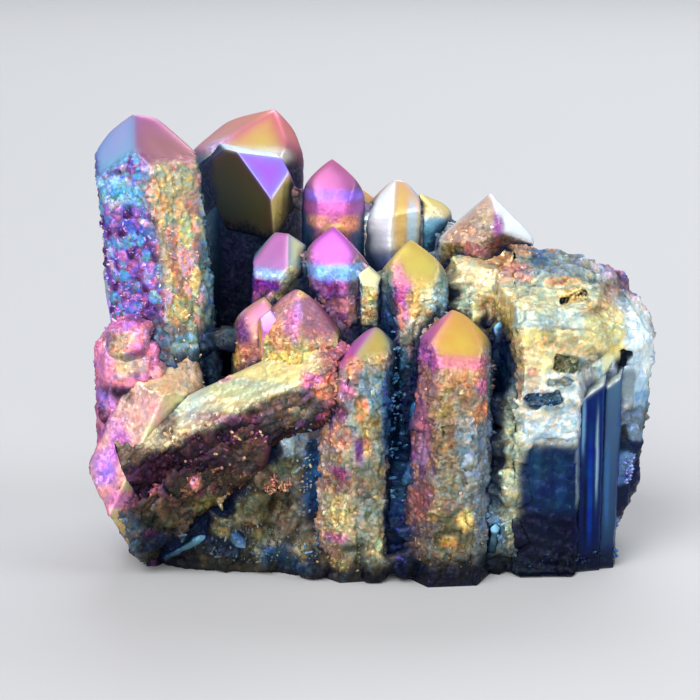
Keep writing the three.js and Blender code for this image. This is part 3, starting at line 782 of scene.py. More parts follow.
crystal("mauve_pyramid", (-9.4, 9.5, 0), (-8.8, 8.6, 35.6), 9, 8, turn=-65, peak=(-0.3, 0), start=21,
        spacing=0.2, seed=12, skin="drusy", grain=0.8, wear=0.25, rises=(0, 1, 0, 1, 2, 0), bare=0.5,
        tips=(((164, 108, 146, 0.5), (150, 112, 116, 0.7), None, 0.6), (MAUVE, UMBER, None, 1),
              (MAUVE, UMBER, None, 1), (MAUVE, UMBER, None, 1), (MAUVE, UMBER, None, 1),
              ((190, 124, 156, 0.5), (206, 156, 126, 0.7), None, 0.6)),
        sides=((STRAW, (206, 196, 130)),),
        washes=(((-8.8, 5.6, 35.4), (1, 3, 0.8), (226, 190, 100), 0.9),
                ((-9.5, 5.6, 33), (0.6, 3, 1.4), (196, 150, 226, 0.6), 0.6),
                ((-10.1, 5, 31.4), (0.9, 3, 2), (196, 100, 184, 0.7), 0.6),
                ((-12, 6, 30), (1.2, 3, 1.4), (222, 140, 110), 0.8),
                ((-8, 4.6, 27.4), (4.4, 4, 1.3), (222, 200, 120), 0.9),
                ((-6.8, 5, 30.2), (1.4, 3, 1.6), (170, 100, 120), 0.6)))
crystal("violet_splinter", (-13.2, 10.6, 22), (-12.7, 7.8, 32.9), 2.8, 3.4, turn=-100, seed=13,
        start=2, spacing=0.18,
        tips=(((176, 150, 240), (160, 90, 220), None, 1), (MAGENTA, PURPLE, None, 1)),
        sides=(((190, 90, 200), SALMON), (ORANGE, GOLD)))
crystal("cream_splinter", (-0.6, 12.6, 22), (-0.6, 11.2, 37.9), 3.4, 3.2, turn=-92, seed=14, start=2,
        spacing=0.18, skin="drusy", grain=0.5, bare=0.6,
        tips=(((210, 196, 140), (222, 204, 140), (150, 170, 160), 1),),
        sides=(((206, 190, 130), (120, 130, 110)), (GREY, STEEL)))

# ------------------------------------------------------------------ the front crystals
# The two broad crystals that stand foremost: a golden one with an orange shoulder, and a
# greyer one at its left. Their prisms are crusted with angular blocks down to the base.

crystal("front_orange_crystal", (8.9, 6.2, 0), (9.9, 6, 33.2), 7.4, 8.6, spread=1.42, turn=-84,
        spacing=0.2, seed=15, skin="drusy", wear=0.3, grain=0.9,
        ends=[(-86, 40, 0), (-164, 44, 0.9), (-20, 40, 1.2), (60, 40, 0.5), (140, 40, 1.5)],
        tips=(((216, 180, 80), (222, 176, 84), (226, 150, 110), 1),
              ((200, 100, 160), (150, 70, 180), None, 0.6), ((206, 176, 90), GOLD, None, 1),
              (GOLD, OLIVE, None, 1)),
        sides=(((176, 148, 112), (142, 132, 108)), ((116, 134, 140), (60, 90, 110)), (STEEL, NAVY),
               (STEEL, NAVY), (PURPLE, PLUM), ((156, 108, 130), (124, 106, 94))),
        flecks=(((0,), 0.0, 0.12, (220, 184, 120), 0.5), ((0,), 0.12, 0.24, (170, 112, 120), 0.5),
                ((0,), 0.24, 0.34, (110, 110, 110), 0.5), ((5,), 0.0, 0.2, (216, 160, 120), 0.5),
                ((5,), 0.2, 0.36, (96, 40, 110), 0.6)),
        washes=(((9.6, 2, 27.8), (4.4, 3, 0.7), (216, 116, 150, 0.6), 0.7),
                ((12.6, 2, 26.8), (1.2, 3, 1), (196, 100, 150), 0.6),
                ((10.4, 2, 26), (3, 3, 1), (216, 160, 112), 0.75),
                ((5.8, 2, 28), (1.8, 3, 1.6), (176, 90, 180), 0.75),
                ((12.9, 2, 24.6), (0.8, 3, 1), (196, 90, 150), 0.8),
                ((10, 2, 22.2), (3, 4, 2.2), (176, 150, 104), 0.6),
                ((9, 2, 17.6), (2, 4, 3.6), (122, 108, 84), 0.8),
                ((12.4, 2, 17), (2.4, 4, 4.4), (128, 146, 158), 0.85),
                ((12.4, 2, 10), (3, 4, 4), (122, 138, 146), 0.8),
                ((8.4, 1.4, 12), (2.2, 4, 2.2), (140, 134, 112), 0.7),
                ((9.6, 1, 5.6), (5, 4, 4.4), (88, 96, 90), 0.6),
                ((9.4, 1, 7), (2.6, 4, 2.4), (78, 74, 46), 0.8),
                ((11, 1, 8.4), (1.1, 3, 1.1), (226, 196, 120), 0.8),
                ((9, 1, 5.8), (0.8, 3, 0.7), (216, 160, 90), 0.8),
                ((7, 1, 9), (0.7, 3, 0.8), (190, 170, 110), 0.7),
                ((13.6, 2, 8), (1.2, 4, 3), (120, 140, 152), 0.8),
                ((5, 2.4, 20), (1.4, 3, 2.4), (150, 80, 116), 0.7),
                ((5.4, 2.4, 16), (1, 3, 1.2), (160, 116, 190), 0.4),
                ((5.4, 2, 10), (1.8, 3, 2.4), (150, 90, 100), 0.7),
                ((12.8, 2, 21.4), (0.9, 3, 1.4), (222, 150, 90), 0.7),
                # Painted shade: the foot is painted near black.
                ((9, 1, 1.2), (8, 6, 2.2), (24, 26, 32), 0.95)))
crystal("front_centre_crystal", (-2.6, 6.6, 0), (-1.9, 7.4, 31), 8.6, 8.4, turn=-78, peak=(1.6, -1),
        spacing=0.2, seed=16, skin="drusy", wear=0.25, grain=0.9,
        ends=[(-82, 44, 0), (-160, 48, 0), (-10, 40, 1.2), (70, 40, 1), (160, 44, 1)],
        tips=(((206, 178, 84), (200, 176, 100), (190, 196, 130), 1),
              ((196, 110, 210), (222, 110, 180), None, 1), ((96, 120, 120), STEEL, None, 1),
              (STEEL, NAVY, None, 1)),
        sides=(((150, 160, 146), (130, 126, 100)), (STEEL, NAVY), (STEEL, NAVY), (STEEL, NAVY),
               (MAUVE, PLUM), ((176, 136, 138), (152, 136, 112))),
        flecks=(((0,), 0.0, 0.15, (186, 196, 200), 0.6), ((0,), 0.15, 0.3, (110, 110, 80), 0.6),
                ((5,), 0.0, 0.2, (226, 170, 110), 0.6), ((5,), 0.2, 0.34, (130, 60, 150), 0.6)),
        washes=(((-3.9, 3, 31), (0.8, 3, 1.3), (176, 170, 240), 0.9),
                ((-3.7, 3, 28.8), (1.1, 3, 1.4), (206, 84, 190), 0.9),
                ((-2.6, 3, 26.6), (1, 3, 1.3), (226, 140, 120), 0.85),
                ((0.5, 3, 27.4), (1.3, 3, 1.1), (206, 170, 96), 0.8),
                ((0.3, 3, 24), (1.5, 4, 2.6), (120, 146, 156), 0.85),
                ((1.9, 3, 22), (1, 4, 6), (40, 90, 130), 0.85),
                ((-3.4, 3, 24), (1, 3, 1.1), (216, 116, 176), 0.75),
                ((-4.6, 3, 21.6), (1.2, 3, 1.1), (96, 44, 90), 0.75),
                ((-1.7, 3, 21.8), (0.7, 3, 1.4), (226, 150, 84), 0.85),
                ((-0.3, 3, 19.6), (1.2, 3, 1.4), (170, 150, 90), 0.7),
                ((-4, 3, 18.2), (1.6, 3, 1.2), (206, 150, 130), 0.7),
                ((-1.9, 3, 16.6), (0.6, 3, 1.6), (110, 40, 120), 0.9),
                ((-0.9, 3, 16.8), (0.5, 3, 1.1), ORANGE, 0.7),
                ((-4.4, 3, 13.6), (1.1, 3, 0.8), (160, 64, 136), 0.75),
                ((-2.6, 3, 11.8), (2, 3, 1.4), (140, 116, 92), 0.7),
                ((0.4, 3, 13), (1.6, 4, 2.6), (116, 110, 84), 0.7),
                ((-4.4, 2, 8.4), (2, 4, 2.2), (206, 190, 136), 0.8),
                ((-5, 2, 5.6), (1.4, 3, 0.6), (190, 96, 140), 0.8),
                # Painted shadow: a black patch under the cream lump above.
                ((-3, 2, 4.4), (1.6, 3, 0.6), BLACK, 0.8),
                ((1.6, 2, 4.6), (1.8, 3, 1.1), (226, 216, 160), 0.85),
                # Painted shade: the foot is painted dark.
                ((0, 1, 1.4), (6, 5, 1.6), (60, 60, 52), 0.8),
                ((-5, 2, 2.2), (1.6, 3, 0.7), (206, 184, 120), 0.8)))

# Slips of clear blue crystal that stand in the clefts beside them.
for number, (foot, tip, across) in enumerate((
    ((15, 10.4, 25.6), (15.4, 9.2, 31.4), 1.9), ((14.4, 5.2, 3), (14.8, 3.8, 7), 1.4),
    ((-11, 7, 12.6), (-10.2, 5.4, 18.6), 2.2), ((-18.6, 5, 6.4), (-16, 3.9, 3.8), 1.4),
    ((-26.4, 5.8, 1.8), (-21, 4.7, 5.2), 1),
)):
    crystal(f"cleft_crystal_{number + 1}", foot, tip, across, seed=60 + number, spacing=0.18,
            start=0.2, wear=0.1, grain=3, rises=(0, 0.5, 0.2, 0.7, 0, 0.4),
            tips=(((100, 164, 196), (50, 96, 136), (130, 180, 206), 1), (STEEL, NAVY, None, 1)),
            sides=(((90, 126, 140), (18, 40, 60)), ((40, 80, 110), NAVY), (STEEL, NAVY)))

# Two clear blue crystals stand side by side in the recess of the block, almost buried in
# it, with a flat face to the front and their tips broken off aslant.
for number, (foot, tip, across, top, front) in enumerate((
    ((26, 8.8, 0), (26.2, 8.7, 30), 5, (26.4, 6, 22.6), ((12, 44, 104, 0.15), (3, 18, 54, 0.3))),
    ((28.6, 9.1, 0), (29.2, 9.2, 30), 3.2, (29, 7.6, 23.6), ((76, 110, 140, 0.3), (12, 34, 70, 0.3))),
)):
    crystal(f"blue_blade_{number + 1}", foot, tip, across, seed=80 + number, spacing=0.18, turn=-74,
            spread=1.0, wear=0.1, grain=1.2, breaks=((top, (-0.35, -0.5, 0.8)),),
            broken=(196, 208, 200),
            sides=(front, ((30, 84, 150, 0.2), (4, 24, 66, 0.3)), (NAVY, NAVY), (NAVY, NAVY),
                   (NAVY, NAVY), ((6, 20, 50, 0.3), (4, 14, 36, 0.3))),
            # The thin pale streaks on the blades' fronts are painted highlights, glints of the lamps.
            washes=(((25.7, 6.4, 19), (0.22, 2, 3.4), (110, 160, 200, 0.1), 0.8),
                    ((26.7, 6.4, 11), (0.3, 2, 6.5), (0, 52, 144, 0.05), 0.85),
                    ((27.5, 6.6, 15), (0.16, 2, 5), (150, 190, 216, 0.1), 0.75),
                    ((26.1, 6.4, 8), (0.2, 2, 4), (2, 12, 36, 0.2), 0.85),
                    ((28.9, 7.6, 11), (0.3, 2, 5), (50, 100, 150, 0.2), 0.8)))

# ------------------------------------------------------------------ the slab
# A crystal that lies slanting across the left front, with a bright upper face and a very
# rough dark front, on a second one that runs down beside it to the corner of the base.

LEFT_BREAKS = (((LEFT_BREAK, 9, 12), (-0.87, -0.1, -0.48)),
               ((LEFT_BREAK, 11, 20), (-1, 0, 0)))
crystal("slab", (-30, 8.5, 12.6), (-2, 7.5, 26.6), 9.6, 10, turn=-80, spacing=0.2, seed=17,
        rises=(2, 0, 1, 1, 3, 3), skin="drusy",
        tips=(((190, 110, 130, 1), (170, 110, 90, 1), None, 1),), wear=0.3, bare=0, grain=1.35,
        sides=(((44, 36, 54), (20, 10, 28)), (UMBER, UMBER), (MOSS, MOSS),
               ((*CREAM, 0.5), (*STRAW, 0.5)), ((246, 238, 204, 0.25), (232, 232, 206, 0.3)),
               ((222, 208, 156, 0.35), (210, 190, 156, 0.5))),
        flecks=(((0,), 0.0, 0.08, (170, 104, 156), 0.8), ((0,), 0.08, 0.2, (108, 84, 86), 0.8),
                ((0,), 0.2, 0.6, (20, 10, 28), 0.9), ((0,), 0.92, 1.1, (110, 56, 110), 0.8)),
        washes=(((-13, 4, 25.8), (6, 9, 1.3), (222, 206, 140, 0.25), 0.8),
                ((-18, 4, 23.6), (4, 9, 0.8), (188, 198, 156, 0.3), 0.8),
                ((-14, 4, 24.4), (4, 9, 0.5), (166, 184, 166, 0.3), 0.7),
                ((-24, 4, 22.2), (3.4, 9, 2), (190, 212, 200, 0.3), 0.85),
                ((-18.6, 4, 24.9), (0.9, 9, 0.6), (222, 140, 170), 0.8),
                ((-17.8, 5, 27.6), (0.8, 9, 0.7), (226, 130, 190), 0.8),
                ((-7.6, 2.4, 25.4), (1.2, 2, 1), (222, 110, 180), 0.9),
                ((-6.2, 2.4, 24.2), (1.4, 2, 1.2), (226, 160, 110), 0.8),
                ((-10, 2, 22.2), (3, 3, 1.3), (112, 102, 92), 0.8),
                ((-13, 2, 21.6), (1.6, 3, 0.8), (136, 104, 104), 0.7),
                ((-19, 2, 20.6), (5, 3, 0.5), (150, 90, 120), 0.6),
                ((-24.4, 3, 15.2), (3.6, 6, 2), (26, 14, 30), 0.85),
                ((-19.6, 3, 17.4), (3.6, 6, 2), (24, 12, 32), 0.85),
                ((-15.4, 3, 19.2), (3, 6, 1.5), (34, 28, 40), 0.85),
                ((-28.6, 3, 14.8), (4, 8, 2.6), (44, 18, 38), 0.85),
                ((-25.6, 4, 19.4), (1.6, 6, 1.2), (70, 34, 56), 0.7),
                ((-17.7, 2, 15.6), (0.6, 2, 0.9), (236, 170, 200), 0.9),
                ((-11.6, 3, 20.4), (2.4, 6, 1.2), (92, 80, 70), 0.7)))
crystal("slab_foot", (-33, 8.6, 4.4), (-10.8, 7, 21.4), 9.6, 8.6, spread=1.15, turn=-80, spacing=0.2,
        breaks=(*LEFT_BREAKS, BASE_CUT), seed=18, rises=(2, 0, 1, 1, 3, 3), skin="drusy",
        tips=((MAUVE, UMBER, None, 1),), wear=0.3, grain=1.1, broken=(110, 118, 120),
        sides=(((74, 62, 56), (52, 48, 42)), (UMBER, MOSS), (MOSS, MOSS), (OLIVE, OLIVE),
               (OLIVE, OLIVE), ((84, 40, 66), (120, 70, 90))),
        flecks=(((0,), 0.0, 0.12, (150, 96, 70), 0.8), ((0,), 0.12, 0.24, (40, 24, 30), 0.8),
                ((0,), 0.24, 0.34, (120, 60, 96), 0.8)),
        washes=(((-22, 2, 15), (5, 3, 1.6), (44, 24, 46), 0.7),
                ((-28.6, 3, 12), (2, 3, 1.2), (190, 110, 150), 0.7),
                ((-22, 2, 12.4), (0.6, 2, 0.8), (236, 150, 150), 0.9),
                ((-20, 2, 9.4), (2.6, 3, 1), (120, 110, 60), 0.8),
                ((-25.6, 2, 10), (3, 3, 1.2), (78, 60, 52), 0.7),
                ((-27, 3, 7), (2.4, 3, 1.2), (36, 42, 34), 0.85),
                ((-31, 4, 5.4), (1.8, 4, 2.6), (84, 100, 116), 0.9),
                ((-26, 3, 4), (3.6, 3, 1.6), (14, 28, 52), 0.9)))

# ------------------------------------------------------------------ the left edge
# A sharp-ridged crystal leaning out at the left corner and a blunt, knobbed one over it.

crystal("left_ridge_crystal", (-36.2, 6.8, 0), (-23.6, 11.8, 27.4), 9.6, 9.6, spread=1.05, turn=-60,
        spacing=0.28, seed=19, rises=(1, 2, 2, 1, 0, 0), breaks=LEFT_BREAKS, skin="drusy", grain=0.7,
        wear=0.12, broken=(150, 70, 110), bare=0,
        tips=(((214, 176, 160, 0.7), (206, 196, 150, 0.6), None, 1),),
        sides=(((214, 206, 150, 0.4), (150, 130, 80, 0.6)), (OLIVE, OLIVE), (OLIVE, OLIVE),
               (OLIVE, OLIVE), (MAGENTA, MAUVE), ((232, 196, 164, 0.5), (190, 100, 160, 0.6))),
        washes=(((-27.6, 5, 20.6), (2, 3, 2), (232, 170, 170, 0.3), 0.7),
                ((-25.6, 5.6, 24.4), (1.2, 3, 1.4), (226, 180, 130, 0.3), 0.7),
                ((-31.4, 4, 16.4), (1.4, 3, 1.6), (216, 100, 190, 0.6), 0.85),
                ((-33.2, 4, 13.8), (1.5, 3, 2.2), (196, 130, 240, 0.6), 0.9),
                ((-32, 4, 18.6), (1.4, 3, 1.6), (206, 110, 190, 0.6), 0.7),
                ((-27.6, 3.4, 16.6), (0.8, 3, 3), (190, 200, 140, 0.3), 0.8),
                ((-31, 4, 10), (2, 3, 1.3), (206, 110, 170, 0.7), 0.8),
                # Painted shade: the near-black patch here lies in the crease.
                ((-31, 5, 22.4), (1.3, 3, 0.9), (34, 18, 22), 0.9),
                ((-29.2, 4, 14.6), (0.7, 3, 2), (222, 200, 130, 0.4), 0.7)))
crystal("blunt_left_crystal", (-30, 13, 0), (-30.6, 11.5, 32.6), 9, 9, spread=1.0, seed=20, bare=0,
        skin="drusy", tips=(((226, 160, 190, 1), (222, 130, 200, 1), None, 1),), breaks=LEFT_BREAKS,
        sides=(((226, 140, 186), (120, 64, 120)),), grain=0.8, spacing=0.28, broken=(120, 50, 100),
        wear=0.5,
        washes=(((-31, 6, 31), (4, 6, 2.6), (228, 150, 176, 0.7), 0.85),
                ((-31.8, 6, 27), (1.8, 6, 2.6), (224, 188, 134, 0.7), 0.8),
                ((-29.4, 6, 26.2), (1.6, 6, 1.2), (196, 186, 146, 0.7), 0.6),
                ((-31.2, 6, 29.6), (1.2, 6, 1), (226, 190, 130, 0.7), 0.6),
                ((-33, 6, 26), (1.2, 6, 2), (226, 130, 200, 0.7), 0.7),
                # Painted shade: the near-black patch here lies in the crease.
                ((-31, 6, 22.6), (3, 6, 0.8), (34, 16, 24), 0.9),
                ((-33.6, 7, 21.4), (1, 6, 1.2), (190, 140, 236), 0.8)))

# ------------------------------------------------------------------ the back crystals
# Points that lean out all round the back, hidden from the front: quieter steel blue, gold
# and violet, smooth at the tips. Two in three have a striated prism and the third is drusy.

BACK_POINTS = (
    ((-25, 25, 0), (-31.6, 28.6, 40), 8.5, 0.84, -70),
    ((-20, 31, 0), (-27.4, 39.6, 29), 8.4, 0.46, -40), ((-9, 34, 0), (-8.4, 40.4, 41), 8.6, 0.66, -75),
    ((-14.6, 35, 0), (-17, 43, 24), 6.4, 0.22, -55), ((1, 32, 0), (2, 38.6, 34), 8.2, 0.42, -50),
    ((9, 31, 0), (12, 34.4, 39), 7.6, 0.74, -85), ((7.6, 33, 0), (9, 42, 24.6), 6.8, 0.6, -65),
    ((17, 28, 0), (21, 35.4, 31), 8.4, 0.88, -60), ((24, 26, 0), (31, 31, 27), 8.6, 0.48, -80),
    ((-2, 28, 0), (-2, 29, 45), 6.4, 0.36, -80), ((26, 24, 0), (28.6, 25, 34.6), 6.4, 0.7, -50),
)
BACK_RISES = (RISES, (1.2, 2, 0, 2.4, 0.4, 2.6), (0, 2.4, 1.4, 1.5, 1.6, 2))
for number, (foot, tip, across, film, turn) in enumerate(BACK_POINTS):
    rough_one = number % 3 == 1
    down = (Vector(foot) - Vector(tip)).normalized() * across
    crystal(f"back_crystal_{number + 1}", foot, tip, across, wear=0.1, seed=30 + number,
            spacing=0.27 if rough_one else 0.3, skin="drusy" if rough_one else "striated",
            grain=0.8 if rough_one else 1.6, turn=turn, rises=BACK_RISES[(number // 2) % 3],
            tips=((film, film + 0.13, film + 0.2, 1), (film + 0.1, film - 0.08, film + 0.16, 1),
                  (film + 0.04, film + 0.2, film + 0.12, 1)),
            sides=((film - 0.12, STEEL), (film - 0.04, NAVY), (film - 0.2, BLUE),
                   (film + 0.08, (60, 100, 130))),
            flecks=(((0, 1, 2, 3, 4, 5), 0, 0.25, film + 0.08, 0.4),
                    ((0, 1, 2, 3, 4, 5), 0.25, 0.45, film - 0.12, 0.4)),
            washes=((tuple(Vector(tip) + 0.8 * down), (9, 9, 0.2 * across), film + 0.24, 0.6),
                    (tuple(Vector(tip) + 1.3 * down), (9, 9, 0.3 * across), film - 0.1, 0.4)))

# ------------------------------------------------------------------ the grown mass
# The root that the crystals stand on and the broken block at the right are one body with
# them. It is rough with small clots, and its coat follows that of the crystals near it.

# Between SKIN_DEPTH inside a crystal's face and SKIN_REACH outside it, the mass draws back so
# that the face comes out of it clean.
SKIN_DEPTH, SKIN_REACH, DRAWN_BACK = 0.5, 1.2, 0.7
# It follows only crystals wider than LEAST_ACROSS, from FARTHEST_IN behind their faces to
# FARTHEST_OUT in front of them, and less and less over ROOTED below where they start.
LEAST_ACROSS = 2.5
FARTHEST_IN, FARTHEST_OUT, ROOTED = -2, 8, 3
COAT_REACH, BASE_WEIGHT = 0.9, 0.01
# Above this height the broken top lies in wide ledges, and below it in narrow ones.
LEDGES_FROM = 29


def part_of_solid(low, high, voxel):
    """The part of the cluster's solid between two corners, in an even grid."""
    bm = bmesh.new()
    bm.from_mesh(cluster_solid.data)
    bmesh.ops.remove_doubles(bm, verts=bm.verts, dist=1e-6)
    for axis in range(3):
        for limit, side in ((low[axis], -1), (high[axis], 1)):
            at, facing = Vector((0, 0, 0)), Vector((0, 0, 0))
            at[axis], facing[axis] = limit, side
            cut_off(bm, place(at), facing)
    return remade(mesh_of("grown_mass", bm), "REMESH", mode="VOXEL", voxel_size=voxel * MM)


def ledges(points, across, step):
    """Curved steps, as where a crystal broke: each rises slowly and drops at its edge."""
    along = points @ np.array(across) / step + 1.2 * clouds(points, 9, 2, 77)
    rise = along - np.floor(along)
    return rise * (1 - np.clip((rise - 0.86) / 0.14, 0, 1)) - 0.4


def taken_from_crystals(points, drift, base):
    """What a rough surface takes from the crystals that stand in it: their coat where they
    are near, the push that draws it back from their faces, and how clear of them it is."""
    coat = np.tile(finish(base) * BASE_WEIGHT, (len(points), 1))
    weight = np.full(len(points), BASE_WEIGHT)
    push, pushed = np.zeros_like(points), np.zeros(len(points))
    clear = np.full(len(points), 9.0)
    for form in (form for form in forms if form["across"] > LEAST_ACROSS):
        own = points @ form["inwards"][:3, :3].T + form["inwards"][:3, 3]
        gaps = own @ form["normals"].T - form["offsets"]
        gap = gaps.max(axis=1)
        near = own[:, 2] > form["start"] - ROOTED
        near &= (gap > FARTHEST_IN) & (gap < FARTHEST_OUT)
        own, gaps, gap = own[near], gaps[near], gap[near]
        below = np.clip((form["start"] - own[:, 2]) / ROOTED, 0, 1)
        clear[near] = np.minimum(clear[near], np.where(own[:, 2] > form["start"], gap, 9))
        value, shares = coat_of(form, own, gaps, 0.5)
        value = washed(points[near], drift[near], value, form["washes"])
        share = np.exp(-np.clip(gap, 0, 30) / COAT_REACH) * (1 - below)
        coat[near] += value * share[:, None]
        weight[near] += share
        facing = shares @ form["normals"]
        facing /= np.maximum((facing**2).sum(axis=1), 0.3)[:, None]
        facing = facing @ form["inwards"][:3, :3]
        sunk = np.interp(gap, (-SKIN_DEPTH, 0.6, SKIN_REACH), (0, -DRAWN_BACK - SKIN_DEPTH, 0))
        sunk *= (gap > -SKIN_DEPTH) * (1 - below)
        deeper = -sunk > pushed[near]
        place_of = np.flatnonzero(near)[deeper]
        push[place_of] = (facing * sunk[:, None])[deeper]
        pushed[place_of] = -sunk[deeper]
    coat /= weight[:, None]
    coat[:, 3] = 1
    return coat, push, np.clip((clear - 0.5) / 0.5, 0, 1)


def grown_mass(name, low, high, voxel, washes, grain=1.0, base=OLIVE, steps=0, warp=0, crisp=7,
               seed=0):
    """One part of the mass, with grains on it, and steps in millimetres where it broke."""
    mesh = part_of_solid(low, high, voxel * FINENESS)
    points, normals = read_points(mesh), read_normals(mesh)
    drift = drift_of(points)
    points += warp * drift * (1, 0, 1) * np.clip(points[:, 2:] / 3, 0, 1)
    coat, push, open_to_air = taken_from_crystals(points, drift, base)
    big, tone, core = facets(points + 0.3 * drift, 2.2, 0.8, seed)
    middle, more, _ = facets(points + 0.2 * drift, 0.95, 0.8, seed + 3)
    fine, own_tone, _ = facets(points, 0.5, 0.9, seed + 6)
    relief = 0.32 * big + 0.26 * middle + 0.13 * fine + 0.25 * clouds(points, 3.5, 4, seed)
    dapple(coat, 0.9 * (tone - 0.5) * core + 0.7 * (more - 0.5), (1, 1, 1))
    coat = washed(points, drift, coat, washes, crisp)
    dapple(coat, coat[:, 3] * (0.5 * (tone - 0.5) * core + 0.5 * (more - 0.5)), (1, 0.8, 0.5))
    dapple(coat, coat[:, 3] * (own_tone - 0.5), (0.5, -0.08, -0.65))
    # Painted shade in the low places between the clots.
    shaded_low_places = np.clip(0.3 - 1.6 * relief, 0, 1) * open_to_air * coat[:, 3]
    if steps:
        top = np.clip((points[:, 2] - LEDGES_FROM) / 1.5, 0, 1)
        relief += steps * ledges(points, (0.15, 0.45, 0.9), 2.6) * top
        relief += 0.5 * steps * ledges(points, (0.3, 0.1, 1), 1.7) * (1 - top)
    streaks = 0.1 * clouds(points * (1, 1, 0.12), 0.8, 3, seed + 9)
    relief = relief * coat[:, 3] + streaks * (1 - coat[:, 3])
    raise_by = (grain * relief - 0.1) * open_to_air
    raise_by *= np.clip(points[:, 2] / BASE_FADE, 0, 1)
    write_points(mesh, points + push + normals * raise_by[:, None])
    write_coat(mesh, painted_light_and_shade(mesh, coat, normals, shaded_low_places))
    plain_forms.from_mesh(mesh)
    piece(name, mesh)


BLOCK_WASHES = (
    ((21, 3, 21.6), (6, 9, 5.2), (222, 226, 216, 0.7), 0.92),
    ((19.4, 3, 18.8), (2.4, 9, 1.4), (176, 206, 220, 0.7), 0.7),
    ((23.6, 3, 19.6), (1.4, 9, 2.4), (190, 214, 226, 0.7), 0.6),
    ((19.4, 3, 25), (1.6, 9, 1.2), (232, 212, 170, 0.7), 0.7),
    ((21, 3, 28.6), (6, 9, 2.6), (224, 204, 146, 0.6), 0.85),
    ((20, 3, 29.8), (2.2, 9, 0.8), (230, 186, 120), 0.55),
    ((24.6, 3, 25.4), (1.6, 9, 2.6), (190, 206, 210, 0.6), 0.7),
    ((21, 8, 32.4), (7, 9, 1.2), (176, 190, 178, 0.4), 0.85),
    ((22, 9, 34.6), (6, 9, 1.3), (212, 212, 176, 0.6), 0.85),
    ((23.4, 10, 36.2), (2.6, 9, 0.5), (214, 166, 110), 0.75),
    ((24.6, 10, 35), (1.5, 9, 0.5), (112, 118, 92), 0.7),
    ((22.6, 13, 37.8), (4.6, 7, 1.2), (150, 166, 174), 0.8),
    ((24, 16, 40), (7, 9, 1.1), (190, 152, 138), 0.8),
    ((20.6, 14, 38.4), (1.4, 7, 0.7), (90, 120, 156), 0.8),
    ((28, 14, 38.4), (2, 7, 0.8), (206, 214, 216), 0.8),
    ((31.6, 9, 27), (3.6, 10, 7), (206, 226, 234, 0.5), 0.85),
    ((28.4, 8, 30.8), (2.8, 9, 2.8), (226, 214, 150, 0.7), 0.85),
    ((29.4, 8, 27.6), (1.6, 9, 0.9), (226, 206, 110, 0.4), 0.8),
    ((31, 10, 34.4), (3.4, 9, 1.1), (190, 160, 130), 0.7),
    ((33.4, 10, 29), (1.3, 9, 5.4), (220, 238, 244, 0.5), 0.9),
    ((27, 9, 33.4), (2, 9, 0.8), (216, 170, 120), 0.6),
    ((17.8, 8, 37), (1.6, 9, 0.9), (222, 150, 140), 0.6),
    ((17, 4, 26), (1, 9, 4), (196, 160, 120), 0.7), ((16.8, 4, 14), (1.5, 9, 7), (186, 190, 158), 0.9),
    ((21.4, 4, 11), (3.9, 9, 5.9), (6, 38, 76, 0.5), 0.98),
    ((19.6, 3, 13.6), (0.8, 9, 2.8), (26, 62, 96, 0.3), 0.5),
    ((22.8, 3, 12), (0.6, 9, 3.4), (20, 58, 96, 0.3), 0.5),
    ((22, 2, 3.6), (10, 9, 4.6), (3, 16, 42, 0.5), 0.97),
    ((25.1, 2, 13), (0.35, 9, 4.6), (120, 140, 156, 0.2), 0.85),
    ((27, 4, 16.4), (1.9, 9, 8), (0, 48, 124, 0.05), 0.98),
    ((27.4, 5, 6), (2.6, 9, 3.6), (4, 24, 66, 0.2), 0.95),
    ((28.7, 5, 26.4), (0.8, 9, 1), (236, 236, 190, 0.1), 0.9),
    # Painted shade: the slots beside the blue blades are painted black.
    ((30.2, 5, 23), (0.8, 9, 4), BLACK, 0.95), ((29.4, 5, 15), (0.8, 9, 5), BLACK, 0.95),
    ((28.6, 5, 7), (0.8, 9, 4), BLACK, 0.95),
    ((31.9, 6, 25), (0.45, 9, 3), (180, 206, 220, 0.15), 0.9),
    ((31.2, 6, 20), (0.45, 9, 3), (150, 190, 214, 0.15), 0.9),
    ((30.6, 6, 15), (0.45, 9, 3), (110, 160, 196, 0.15), 0.9),
    ((31.6, 8, 23), (1.2, 9, 2.4), (110, 128, 138, 0.3), 0.8),
    ((33.4, 9, 22), (1, 9, 1.8), (170, 206, 230, 0.3), 0.85),
    # Painted shade: the pit at the right is painted black.
    ((32.4, 8, 16.6), (1.6, 9, 2.4), BLACK, 0.95),
    ((31.2, 7, 12.6), (0.7, 9, 1.6), (110, 170, 220, 0.3), 0.85),
    ((30.4, 7, 5.4), (0.8, 9, 1.2), (96, 140, 180), 0.8),
    ((31, 9, 9), (4, 10, 5.4), (8, 24, 56, 0.4), 0.93),
    ((33.6, 12, 14), (2, 10, 4), (10, 28, 62, 0.4), 0.9),
    ((23.4, 6.4, 26.8), (2, 2.3, 1.4), (76, 86, 66), 0.9),
    ((20.6, 6.4, 22.4), (2.8, 2.3, 1.4), (46, 96, 128), 0.9),
    ((22.6, 6.2, 24.6), (2, 2.3, 0.9), (130, 148, 150), 0.85),
    ((24.4, 9.6, 34.4), (2, 2, 0.9), (214, 200, 140), 0.85),
    ((22.6, 3, 22), (0.6, 9, 0.6), (60, 96, 120), 0.6),
    ((19, 3, 26), (0.7, 9, 0.6), (214, 150, 120), 0.7),
    ((30, 22, 14), (9, 8, 12), (30, 70, 110, 0.5), 0.6),
    ((31.6, 9, 12.4), (1, 3, 2), (110, 166, 214, 0.9), 0.6),
    ((32.8, 11, 17.6), (1.2, 3, 2), (160, 190, 214, 0.9), 0.55),
    ((30.6, 8, 5), (1, 3, 1.2), (100, 150, 200, 0.9), 0.55),
    ((34, 12, 21), (1.6, 6, 1.2), (96, 150, 196, 0.9), 0.55),
)
